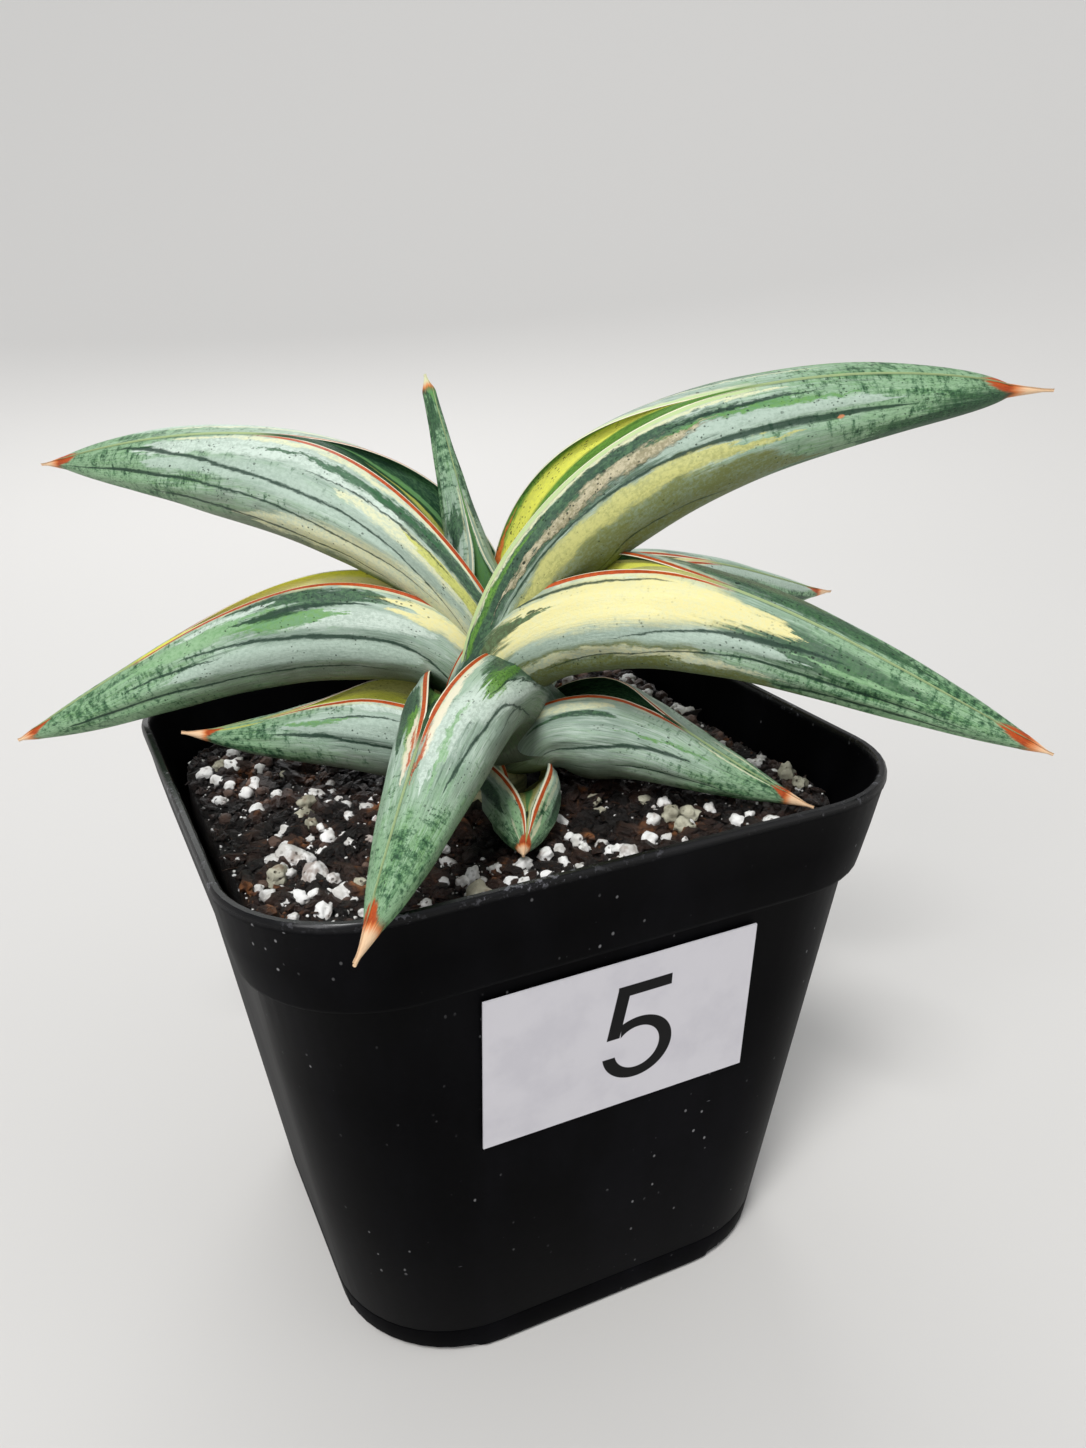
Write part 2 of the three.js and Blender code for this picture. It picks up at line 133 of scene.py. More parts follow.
# %% Finishes
class Finish:
    """One material, whose nodes are added by expressions."""

    def __init__(self, name):
        self.material = bpy.data.materials.new(name)
        self.material.use_nodes = True
        self.tree = self.material.node_tree
        self.shader = self.tree.nodes["Principled BSDF"]

    def node(self, kind, settings=None, inputs=None, output=0):
        """Adds a node: its settings first, then the values or wires of its sockets."""
        made = self.tree.nodes.new(kind)
        for name, value in (settings or {}).items():
            if name == "stops":
                place_stops(made.color_ramp, value)
            elif name == "interpolation":
                made.color_ramp.interpolation = value
            else:
                setattr(made, name, value)
        for key, value in (inputs or {}).items():
            self.feed(made.inputs[key], value)
        return Wire(self, made.outputs[output])

    def feed(self, socket, value):
        """Gives a socket a wire, or a plain value."""
        if isinstance(value, Wire):
            self.tree.links.new(value.socket, socket)
        else:
            socket.default_value = value

    def number(self, value):
        """A plain number as a wire."""
        return self.node("ShaderNodeMath", {"operation": "ADD"}, {0: value, 1: 0.0})

    def object_place(self):
        """The place of a point in its object's own coordinates, in metres."""
        return self.node("ShaderNodeTexCoord", output="Object")

    def axis(self, place, index):
        """One coordinate of a place: 0 is X, 1 is Y and 2 is Z."""
        return self.node("ShaderNodeSeparateXYZ", {}, {0: place}, output=index)

    def set(self, **values):
        """Sets sockets of the Principled shader, such as Base_Color=... or Roughness=..."""
        for name, value in values.items():
            self.feed(self.shader.inputs[name.replace("_", " ")], value)

    def noise(self, place, scale, detail=3.0, roughness=0.55):
        """Cloudy noise from 0 to 1. The greater the scale, the finer its grain."""
        inputs = {"Vector": place, "Scale": scale, "Detail": detail, "Roughness": roughness}
        return self.node("ShaderNodeTexNoise", {}, inputs)

    def cells(self, place, scale):
        """Distance to the nearest of many scattered points."""
        return self.node("ShaderNodeTexVoronoi", {}, {"Vector": place, "Scale": scale}, "Distance")

    def mix(self, below, above, mask):
        """The colour above laid over the colour below where the mask is 1."""
        settings = {"data_type": "RGBA", "clamp_factor": True}
        return self.node("ShaderNodeMix", settings, {0: mask, 6: below, 7: above}, output=2)

    def step(self, value, start, end):
        """0 before start, 1 past end, and smooth in between."""
        settings = {"interpolation_type": "SMOOTHSTEP"}
        inputs = {"Value": value, "From Min": start, "From Max": end}
        return self.node("ShaderNodeMapRange", settings, inputs)

    def stretch(self, place, scale):
        """A place whose three axes are scaled apart."""
        return self.node("ShaderNodeVectorMath", {"operation": "MULTIPLY"}, {0: place, 1: scale})

    def bump(self, height, distance, below=None, strength=1.0):
        """A normal for a relief that is this many metres deep, over the relief below."""
        inputs = {"Height": height, "Distance": distance, "Strength": strength}
        if below:
            inputs["Normal"] = below
        return self.node("ShaderNodeBump", {}, inputs)


def place_stops(ramp, stops):
    """Gives a colour ramp these stops, each a position and four numbers."""
    while len(ramp.elements) > 1:
        ramp.elements.remove(ramp.elements[-1])
    for index, (position, colour) in enumerate(stops):
        stop = ramp.elements[0] if index == 0 else ramp.elements.new(position)
        stop.position = position
        stop.color = colour


print("a finish can add any node")


# %% Colours
def paint(code):
    """A colour from its six hexadecimal digits, as the linear numbers that a shader works in."""
    parts = [int(code[i : i + 2], 16) / 255 for i in (0, 2, 4)]
    linear = [c / 12.92 if c <= 0.04045 else ((c + 0.055) / 1.055) ** 2.4 for c in parts]
    return (*linear, 1.0)


print("a pale grey as linear numbers:", [round(value, 3) for value in paint("D8D6DA")])

# %% [markdown]
# ## The shape of a leaf
# Every leaf follows one rule with its own numbers. A centre line leaves the stem steeply and bends
# over. The cross section is an ellipse that is open along its top: the two margins stand apart at
# the foot, where the leaf is a sheath, and meet further out, where it has rolled shut. A place on
# the blade is told by s, from 0 at the foot to 1 at the tip, and u, from -1 at the left margin
# over 0 at the keel underneath to 1 at the right margin. The markings use the same two numbers.
# The CAD solids follow the same rule with fewer points, so the finer leaves lie where they do.

# %% The numbers of each leaf
# start: centre of the first section, mm. length: of the centre line, mm.
# heading: degrees from +X at the foot and the tip.
# rise: slope in degrees at the very foot, after the bend, and at the tip; bend: how soon it bends.
# width: greatest half width; depth: of the section over its width; foot: width at the foot over it.
# wide, spine, shut: the widest place, the spine's foot and the end of the channel, each as s.
# taper: the two powers of the narrowing. open: degrees from the keel to the right and left margin.
# roll: degrees that the section is turned about the centre line, at the foot and the tip.
LEAVES = {
    "leaf_centre": dict(
        start=(1.5, 0, 90), heading=(92, 93), rise=(90, 65, 62), bend=0.2, length=55, width=5.7,
        depth=0.92, foot=1, wide=0.35, spine=0.95, taper=(0.4, 0.73), open=(116, 115), shut=0.69,
        roll=(-3, 10),
    ),
    "leaf_right_high": dict(
        start=(0.5, 0, 89.5), heading=(-34, -13), rise=(100, -21, -15), bend=0.42, length=115,
        width=10.4, depth=0.83, foot=0.82, wide=0.37, spine=0.93, taper=(1.1, 0.54),
        open=(117, 78), shut=0.58, roll=(5, 45),
    ),
    "leaf_left_high": dict(
        start=(4, -0.5, 89), heading=(140, 127), rise=(115, 9, -7), bend=0.21, length=116,
        width=11.5, depth=0.76, foot=0.62, wide=0.39, spine=0.95, taper=(1.2, 0.69),
        open=(106, 77), shut=0.55, roll=(38, -56),
    ),
    "leaf_back_right": dict(
        start=(0, 0.5, 86), heading=(17, 25), rise=(85, -32, -12), bend=0.2, length=118,
        width=7.8, depth=0.89, foot=0.91, wide=0.27, spine=0.93, taper=(1.7, 0.74),
        open=(115, 115), shut=0.54, roll=(22, 42),
    ),
    "leaf_right_mid": dict(
        start=(0, 0.5, 88), heading=(-43, -48), rise=(100, -40, -23), bend=0.27, length=98,
        width=10, depth=0.86, foot=0.9, wide=0.31, spine=0.96, taper=(1.1, 0.66),
        open=(115, 90), shut=0.51, roll=(-2, 44),
    ),
    "leaf_left_mid": dict(
        start=(0.5, 0.5, 88), heading=(142, 151), rise=(115, -40, -21), bend=0.2, length=96,
        width=10.2, depth=0.91, foot=0.53, wide=0.34, spine=0.96, taper=(0.9, 0.64),
        open=(108, 128), shut=0.73, roll=(12, -29),
    ),
    "leaf_front": dict(
        start=(0.5, 0, 86.5), heading=(236, 236), rise=(85, -32, -4), bend=0.17, length=76,
        width=10.8, depth=0.74, foot=1.51, wide=0.08, spine=0.91, taper=(1, 0.61),
        open=(132, 135), shut=0.51, roll=(16, 24),
    ),
    "leaf_back_low": dict(
        start=(2, 2, 83), heading=(48, 56), rise=(80, -14, -6), bend=0.16, length=62, width=7.6,
        depth=0.8, foot=0.95, wide=0.3, spine=0.92, taper=(1.2, 0.64), open=(112, 112),
        shut=0.66, roll=(0, -8),
    ),
    "leaf_right_low": dict(
        start=(9, -4, 84), heading=(-34, -57), rise=(75, -22, -9), bend=0.11, length=46, width=11,
        depth=0.72, foot=0.84, wide=0.26, spine=0.9, taper=(0.6, 0.67), open=(128, 145),
        shut=0.51, roll=(-15, 27),
    ),
    "leaf_left_low": dict(
        start=(-0.5, 0, 81), heading=(155, 151), rise=(85, -31, 7), bend=0.17, length=53,
        width=8.8, depth=0.91, foot=0.99, wide=0.38, spine=0.91, taper=(0.6, 0.62),
        open=(112, 114), shut=0.72, roll=(4, -16),
    ),
    "leaf_front_small": dict(
        start=(2.5, -6.5, 78), heading=(-110, -113), rise=(76, -6, -13), bend=0.15, length=26,
        width=6.1, depth=0.87, foot=0.76, wide=0.29, spine=0.93, taper=(2, 0.66),
        open=(118, 118), shut=1.1, roll=(4, -24),
    ),
}
SPINE_RADIUS = 1.1  # mm, of the horny tip where it leaves the blade
SPINE_POINT = 0.2  # of that radius, left at the very point
SHUT_ANGLE = 176  # degrees from the keel to each margin where the blade has rolled shut
MARGIN_THICKNESS = 0.65  # mm
CHANNEL_DEPTH = 0.6  # of the blade's own depth, at its foot
SEAM_HEIGHT = 0.25  # mm, of the low ridge where the margins have met
SEAM_FROM = 0.75  # how far the blade has rolled shut where the seam starts
LEAST_SPREAD = 0.45  # of the half mouth, for the inner edges of the margins
SMOOTHED_OVER = 0.06  # of the length to either side, over which the two sizes are averaged
SMOOTHING_STEPS = 3  # to either side
SMOOTHING_FADE = 0.15  # of the length, over which that fades towards the foot and the spine
print(len(LEAVES), "leaves, the longest", max(leaf["length"] for leaf in LEAVES.values()), "mm")


# %% The way and the size of a leaf at any place
def blend(a, b, t):
    """a where t is 0, and b where it is 1."""
    return a + (b - a) * t


def ease(x):
    """0 up to x = 0, 1 from x = 1, and smooth in between."""
    x = min(1, max(0, x))
    return x * x * (3 - 2 * x)


def directions(leaf, s):
    """The way the centre line points at s, and the level direction on its right."""
    heading = math.radians(blend(leaf["heading"][1], leaf["heading"][0], (1 - s) ** 2))
    launch, shoulder, tip = leaf["rise"]
    rise = blend(shoulder, tip, s) + (launch - shoulder) * math.exp(-s / leaf["bend"])
    rise = math.radians(rise)
    flat = math.cos(rise)
    along = Vector((flat * math.cos(heading), flat * math.sin(heading), math.sin(rise)))
    return along, Vector((math.sin(heading), -math.cos(heading), 0))


def sharp_half_sizes(leaf, s):
    """Half width and half depth by the rule of the CAD solids, with a kink at the widest place."""
    spread = leaf["spine"] - leaf["wide"]
    narrowing = min(1, max(0, (s - leaf["wide"]) / spread))
    widening = blend(leaf["foot"], 1, math.sin(math.pi / 2 * min(1, s / leaf["wide"])))
    power, bluntness = leaf["taper"]
    share = widening if s < leaf["wide"] else (1 - narrowing**power) ** bluntness
    blade = leaf["width"] * share
    spine = SPINE_RADIUS * min(1, max(SPINE_POINT, (1 - s) / (1 - leaf["spine"])))
    return math.hypot(blade, spine), math.hypot(blade * leaf["depth"], spine)


def half_sizes(leaf, s):
    """The same two sizes, averaged over a short stretch of the leaf."""
    stretch = SMOOTHED_OVER * ease(min(s, leaf["spine"] - s) / SMOOTHING_FADE)
    steps = range(-SMOOTHING_STEPS, SMOOTHING_STEPS + 1)
    near = [sharp_half_sizes(leaf, s + stretch * step / SMOOTHING_STEPS) for step in steps]
    return [sum(sizes) / len(near) for sizes in zip(*near)]


middle_sizes = half_sizes(LEAVES["leaf_right_high"], 0.5)
print("half sizes in the middle of the upper right leaf, mm:", [round(size, 2) for size in middle_sizes])


# %% Cross sections along a leaf
def sections(leaf, count):
    """Cross sections from the foot to the tip, each with its centre and its own two axes."""
    centre = Vector(leaf["start"])
    found = []
    for index in range(count + 1):
        s = index / count
        if index:
            centre = centre + directions(leaf, s - 0.5 / count)[0] * (leaf["length"] / count)
        along, level = directions(leaf, s)
        roll = math.radians(blend(*leaf["roll"], s))
        right = Matrix.Rotation(roll, 3, along) @ level
        width, depth = half_sizes(leaf, s)
        closing = ease(s / leaf["shut"])
        edges = [math.radians(blend(angle, SHUT_ANGLE, closing)) for angle in leaf["open"]]
        found.append(dict(
            s=s, centre=centre, along=along, right=right, inward=right.cross(along),
            width=width, depth=depth, closing=closing, edges=edges,
        ))
    return found


tip = sections(LEAVES["leaf_back_right"], 40)[-1]["centre"]
print("tip of the back right leaf, mm:", [round(value, 1) for value in tip])


# %% A point on the outside, in the channel, or on the rounded margin between them
def outside(section, u, lift=0.0):
    """A point on the outside, lifted off it by some mm."""
    angle = u * section["edges"][0 if u > 0 else 1]
    across = section["right"] * (section["width"] + lift) * math.sin(angle)
    return section["centre"] + across - section["inward"] * (section["depth"] + lift) * math.cos(angle)


def channel(section, u, lift=0.0):
    """The floor of the channel, which rises to a low ridge where the blade has rolled shut."""
    mouth = (outside(section, -1) + outside(section, 1)) / 2
    half_mouth = (outside(section, 1) - mouth).length
    at_margin = max(LEAST_SPREAD, 1 - MARGIN_THICKNESS / max(half_mouth, 0.01))
    share = blend(CHANNEL_DEPTH * (1 - section["closing"]), at_margin, abs(u) ** 3)
    hollow = mouth.lerp(outside(section, u, lift), share)
    seam = mouth.lerp(outside(section, math.copysign(1, u)), at_margin * abs(u))
    seam += section["inward"] * SEAM_HEIGHT * (1 - u * u)
    return hollow.lerp(seam, ease((section["closing"] - SEAM_FROM) / (1 - SEAM_FROM)))


def blade_point(section, u, turn, lift=0.0):
    """turn is 0 on the outside and 1 in the channel, and goes round the margin in between."""
    if turn <= 0:
        return outside(section, u, lift)
    if turn >= 1:
        return channel(section, u, lift)
    outer, inner = outside(section, u), channel(section, u)
    middle = (outer + inner) / 2
    just_before = outside(section, u * 0.98)
    edge_on = (outer - just_before).normalized() * (outer - inner).length / 2
    angle = math.pi * turn
    return middle + (outer - middle) * math.cos(angle) + edge_on * math.sin(angle)


OUTER_SIDES = 80  # faces round the outside
BEAD_SIDES = 5  # points round each margin
INNER_SIDES = 32  # faces across the channel


def spread_out(count):
    """Places from -1 to 1 that lie closer together towards both ends."""
    return [math.sin(math.pi / 2 * (2 * i / count - 1)) for i in range(count + 1)]


# Once round a section: down the outside from the right margin, then back through the channel
AROUND = [(-u, 0) for u in spread_out(OUTER_SIDES)]
AROUND += [(-1, (i + 1) / (BEAD_SIDES + 1)) for i in range(BEAD_SIDES)]
AROUND += [(u, 1) for u in spread_out(INNER_SIDES)]
AROUND += [(1, 1 - (i + 1) / (BEAD_SIDES + 1)) for i in range(BEAD_SIDES + 1)]
print(len(AROUND), "points go once round a leaf")

# %% [markdown]
# ## The markings come first
# Whole zones of a leaf lack their green and are cream or lemon, long dark streaks run where the
# veins lie, and each streak sits in a shallow flute of the surface. So the markings are listed
# before the leaves are built: the mesh takes its flutes from them, and the finish its colours.
# Each one is a band, a path of places on the blade with a half width. It was read off the
# photograph. The far side of a leaf, which no one sees there, gets a fainter echo of the
# near side's zones. Only the front leaf shows both its sides, so its list covers both.

# %% The markings of each leaf
# Each marking: a pigment, how ragged its border is from 0 to 1, and its path of (s, u, half width)
MARKINGS = {
    "leaf_right_high": [
        # The olive zone along the belly is partly the leaf's own colour and partly painted shade.
        ("olive", 0.8, [(0.1, 0.54, 0.18), (0.3, 0.52, 0.24), (0.48, 0.48, 0.2), (0.62, 0.44, 0.06)]),
        ("straw", 0.8, [(0.14, 0.68, 0.03), (0.3, 0.71, 0.06), (0.48, 0.7, 0.05), (0.58, 0.66, 0.02)]),
        ("deep_green", 0.8, [(0.04, 0.9, 0.1), (0.2, 0.91, 0.11), (0.44, 0.9, 0.09), (0.58, 0.87, 0.04)]),
        ("leaf_green", 0.8, [(0.06, 0.95, 0.012), (0.16, 0.95, 0.03), (0.26, 0.95, 0.012)]),
        ("pale_bloom", 0.8, [(0.46, 0.82, 0.04), (0.58, 0.81, 0.06), (0.72, 0.8, 0.03)]),
        ("fresh_green", 1.0, [(0.48, 0.89, 0.014), (0.58, 0.88, 0.03), (0.7, 0.86, 0.014)]),
        ("vein", 0.2, [(0.18, 0.79, 0.009), (0.35, 0.79, 0.012), (0.5, 0.75, 0.018), (0.62, 0.72, 0.032),
                       (0.76, 0.72, 0.014)]),
        ("vein", 0.2, [(0.3, 0.37, 0.008), (0.37, 0.45, 0.011), (0.5, 0.4, 0.008)]),
        ("vein", 0.5, [(0.48, 0.93, 0.011), (0.56, 0.92, 0.019), (0.64, 0.92, 0.008)]),
        # The dark zone under the tip is partly the leaf's own deep green and partly painted shade.
        ("deep_green", 1.0, [(0.72, 0.4, 0.08), (0.83, 0.42, 0.28), (0.94, 0.45, 0.4)]),
        ("ivory", 0.5, [(0.16, 0.98, 0.008), (0.35, 0.98, 0.012), (0.6, 0.975, 0.01)]),
        ("cork", 1.0, [(0.2, 0.85, 0.014), (0.27, 0.86, 0.026), (0.42, 0.865, 0.04), (0.5, 0.88, 0.02)]),
        ("wound", 0.0, [(0.669, 0.695, 0.01), (0.673, 0.7, 0.018), (0.677, 0.7, 0.01)]),
    ],
    "leaf_left_high": [
        ("ivory", 0.8, [(0.1, -0.45, 0.16), (0.3, -0.46, 0.14), (0.5, -0.42, 0.06)]),
        ("pale_bloom", 0.5, [(0.2, -0.66, 0.05), (0.45, -0.7, 0.07), (0.7, -0.78, 0.05)]),
        ("ivory", 0.8, [(0.1, -0.74, 0.1), (0.18, -0.78, 0.09), (0.36, -0.79, 0.04)]),
        ("lemon", 0.8, [(0.08, -0.78, 0.06), (0.16, -0.8, 0.07), (0.25, -0.82, 0.03)]),
        ("deep_green", 0.8, [(0.08, -0.93, 0.06), (0.22, -0.92, 0.05), (0.33, -0.91, 0.03)]),
        ("white_bloom", 0.8, [(0.33, -0.87, 0.05), (0.5, -0.89, 0.07), (0.72, -0.91, 0.05)]),
        ("tip_green", 1.0, [(0.26, -0.93, 0.014), (0.36, -0.9, 0.03), (0.5, -0.9, 0.012)]),
        ("ivory", 0.5, [(0.2, -0.98, 0.012), (0.4, -0.965, 0.02), (0.66, -0.975, 0.015)]),
        ("vein", 0.2, [(0.22, -0.52, 0.008), (0.4, -0.52, 0.011), (0.6, -0.62, 0.014), (0.75, -0.7, 0.022),
                       (0.9, -0.75, 0.011)]),
        ("vein", 0.2, [(0.16, -0.54, 0.008), (0.3, -0.66, 0.011), (0.5, -0.7, 0.014), (0.6, -0.78, 0.016),
                       (0.76, -0.93, 0.019)]),
        ("vein", 0.2, [(0.3, -0.36, 0.008), (0.5, -0.4, 0.014), (0.7, -0.5, 0.011)]),
        ("vein", 0.5, [(0.22, -0.83, 0.008), (0.32, -0.84, 0.011), (0.42, -0.82, 0.008)]),
    ],
    "leaf_right_mid": [
        # The olive zone along the belly is partly the leaf's own colour and partly painted shade.
        ("olive", 0.8, [(0.06, 0.46, 0.2), (0.3, 0.4, 0.24), (0.48, 0.38, 0.18), (0.62, 0.36, 0.08)]),
        ("ivory", 1.0, [(0.15, 0.52, 0.03), (0.4, 0.5, 0.04), (0.58, 0.5, 0.02)]),
        ("pale_bloom", 0.5, [(0.2, 0.64, 0.06), (0.45, 0.66, 0.08), (0.6, 0.7, 0.04)]),
        ("cream", 0.8, [(0.16, 0.8, 0.1), (0.34, 0.83, 0.15), (0.48, 0.85, 0.13), (0.6, 0.87, 0.04)]),
        ("deep_green", 1.0, [(0.08, 0.86, 0.09), (0.17, 0.85, 0.09), (0.24, 0.87, 0.03)]),
        ("mint", 1.0, [(0.64, 0.76, 0.01), (0.74, 0.76, 0.03), (0.84, 0.8, 0.01)]),
        ("deep_green", 0.8, [(0.4, -0.86, 0.05), (0.52, -0.86, 0.14), (0.66, -0.88, 0.12),
                             (0.78, -0.9, 0.05)]),
        ("vein", 0.2, [(0.2, 0.965, 0.008), (0.3, 0.955, 0.014), (0.42, 0.95, 0.008)]),
        ("vein", 0.2, [(0.38, 0.6, 0.007), (0.5, 0.7, 0.014), (0.6, 0.77, 0.024), (0.68, 0.82, 0.011)]),
        ("vein", 0.2, [(0.4, 0.48, 0.008), (0.55, 0.59, 0.012), (0.7, 0.62, 0.019), (0.87, 0.66, 0.011)]),
        ("vein", 0.2, [(0.25, 0.45, 0.007), (0.4, 0.48, 0.008)]),
        ("vein", 0.5, [(0.62, 0.45, 0.014), (0.8, 0.47, 0.022), (0.95, 0.5, 0.011)]),
    ],
    "leaf_left_mid": [
        ("cream", 0.8, [(0.1, -0.88, 0.06), (0.18, -0.89, 0.06), (0.25, -0.92, 0.03)]),
        ("white_bloom", 0.5, [(0.2, -0.78, 0.05), (0.3, -0.77, 0.06), (0.42, -0.76, 0.04)]),
        ("pale_bloom", 0.5, [(0.2, -0.55, 0.06), (0.4, -0.56, 0.08), (0.62, -0.62, 0.05)]),
        ("deep_green", 1.0, [(0.27, -0.93, 0.03), (0.36, -0.91, 0.08), (0.47, -0.95, 0.05)]),
        ("fresh_green", 1.0, [(0.35, -0.78, 0.03), (0.45, -0.8, 0.07), (0.55, -0.88, 0.06)]),
        ("mint", 1.0, [(0.5, -0.85, 0.05), (0.6, -0.85, 0.07), (0.72, -0.85, 0.04)]),
        ("white_bloom", 0.8, [(0.45, -0.93, 0.02), (0.52, -0.93, 0.03), (0.6, -0.94, 0.02)]),
        ("vein", 0.5, [(0.28, -0.86, 0.008), (0.36, -0.85, 0.02), (0.44, -0.84, 0.03), (0.5, -0.84, 0.01)]),
        ("vein", 0.2, [(0.12, -0.53, 0.008), (0.2, -0.62, 0.016), (0.4, -0.66, 0.019), (0.6, -0.75, 0.011)]),
        ("vein", 0.5, [(0.55, -0.66, 0.008), (0.65, -0.69, 0.016), (0.74, -0.72, 0.008)]),
        ("vein", 0.2, [(0.25, -0.4, 0.008), (0.5, -0.43, 0.011), (0.65, -0.5, 0.016), (0.86, -0.58, 0.022)]),
    ],
    "leaf_front": [
        ("white_bloom", 0.8, [(0.18, -0.6, 0.06), (0.3, -0.7, 0.14), (0.45, -0.84, 0.12), (0.6, -0.9, 0.04)]),
        ("deep_green", 1.0, [(0.04, -0.78, 0.2), (0.18, -0.78, 0.2), (0.28, -0.8, 0.1)]),
        ("leaf_green", 1.0, [(0.22, -0.76, 0.04), (0.28, -0.77, 0.07), (0.34, -0.76, 0.04)]),
        ("membrane", 0.8, [(0.26, -0.97, 0.02), (0.38, -0.96, 0.03), (0.52, -0.96, 0.03)]),
        ("mint", 1.0, [(0.36, -0.85, 0.01), (0.46, -0.84, 0.02), (0.58, -0.84, 0.02)]),
        ("vein", 0.5, [(0.2, -0.6, 0.011), (0.26, -0.7, 0.016), (0.33, -0.74, 0.008)]),
        ("vein", 0.2, [(0.26, -0.45, 0.008), (0.33, -0.6, 0.014), (0.45, -0.64, 0.016), (0.6, -0.7, 0.016)]),
        ("vein", 0.2, [(0.2, -0.35, 0.008), (0.3, -0.5, 0.011), (0.4, -0.5, 0.008)]),
        ("deep_green", 0.8, [(0.28, 0.88, 0.1), (0.38, 0.86, 0.1), (0.46, 0.84, 0.05)]),
        ("leaf_green", 0.8, [(0.38, 0.93, 0.05), (0.46, 0.93, 0.05), (0.52, 0.93, 0.03)]),
        ("membrane", 0.8, [(0.42, 0.96, 0.02), (0.5, 0.95, 0.05), (0.58, 0.96, 0.02)]),
        ("orange", 0.8, [(0.46, -0.985, 0.012), (0.52, -0.97, 0.018), (0.6, -0.98, 0.008)]),
        ("orange", 0.8, [(0.46, 0.985, 0.012), (0.51, 0.97, 0.02), (0.56, 0.975, 0.01)]),
    ],
    "leaf_right_low": [
        ("ivory", 0.5, [(0.02, 0.93, 0.03), (0.15, 0.92, 0.04), (0.26, 0.93, 0.03)]),
        ("ivory", 0.5, [(0.58, 0.98, 0.01), (0.75, 0.97, 0.02), (0.88, 0.97, 0.01)]),
        ("deep_green", 0.5, [(0.06, 0.83, 0.016), (0.18, 0.86, 0.024), (0.29, 0.86, 0.016)]),
        ("fresh_green", 1.0, [(0.32, 0.76, 0.006), (0.42, 0.78, 0.012), (0.6, 0.84, 0.02)]),
        ("vein", 0.2, [(0.05, 0.56, 0.008), (0.2, 0.58, 0.014), (0.35, 0.65, 0.022), (0.56, 0.73, 0.019)]),
        ("vein", 0.2, [(0.35, 0.46, 0.008), (0.5, 0.49, 0.014), (0.72, 0.52, 0.008)]),
    ],
    "leaf_left_low": [
        ("white_bloom", 0.5, [(0.26, -0.95, 0.02), (0.34, -0.95, 0.03), (0.42, -0.95, 0.02)]),
        ("pale_bloom", 0.5, [(0.28, -0.8, 0.08), (0.45, -0.8, 0.1), (0.62, -0.8, 0.06)]),
        ("fresh_green", 1.0, [(0.42, -0.84, 0.01), (0.5, -0.82, 0.03), (0.6, -0.82, 0.02)]),
        ("vein", 0.5, [(0.28, -0.62, 0.014), (0.45, -0.66, 0.019), (0.6, -0.7, 0.027), (0.68, -0.72, 0.011)]),
        ("vein", 0.5, [(0.3, -0.88, 0.008), (0.4, -0.87, 0.014), (0.5, -0.85, 0.008)]),
        ("lemon", 0.5, [(0.76, -0.95, 0.02), (0.84, -0.94, 0.03), (0.9, -0.94, 0.02)]),
    ],
    "leaf_back_right": [
        ("cream", 0.8, [(0.08, 0.65, 0.25), (0.3, 0.62, 0.3), (0.5, 0.55, 0.2), (0.62, 0.45, 0.1)]),
        ("deep_green", 0.8, [(0.5, 0.82, 0.08), (0.65, 0.72, 0.14), (0.8, 0.6, 0.12), (0.88, 0.6, 0.06)]),
        ("pale_bloom", 0.5, [(0.5, 0.98, 0.04), (0.7, 0.97, 0.1), (0.88, 0.95, 0.14)]),
    ],
    "leaf_back_low": [
        ("pale_bloom", 0.8, [(0.1, 0.7, 0.3), (0.5, 0.7, 0.3), (0.8, 0.7, 0.2)]),
        ("lemon", 0.5, [(0.28, 0.8, 0.04), (0.32, 0.8, 0.05)]),
    ],
    "leaf_centre": [
        ("deep_green", 0.8, [(0.5, -0.8, 0.1), (0.54, -0.8, 0.24), (0.58, -0.8, 0.1)]),
        ("deep_green", 0.8, [(0.8, -0.7, 0.06), (0.86, -0.7, 0.3), (0.92, -0.7, 0.1)]),
        ("vein", 0.8, [(0.1, -0.7, 0.02), (0.3, -0.72, 0.03), (0.5, -0.74, 0.02)]),
    ],
    "leaf_front_small": [
        ("mint", 0.8, [(0.7, 0.92, 0.04), (0.8, 0.9, 0.06), (0.9, 0.85, 0.04)]),
        ("ivory", 0.8, [(0.78, -0.9, 0.03), (0.84, -0.9, 0.05), (0.9, -0.9, 0.02)]),
        ("deep_green", 0.8, [(0.35, 0.75, 0.08), (0.55, 0.78, 0.1), (0.7, 0.75, 0.04)]),
        ("ivory", 0.8, [(0.3, 0.97, 0.02), (0.5, 0.96, 0.03), (0.65, 0.97, 0.02)]),
    ],
}

SEEN_ON_BOTH_SIDES = ["leaf_front"]
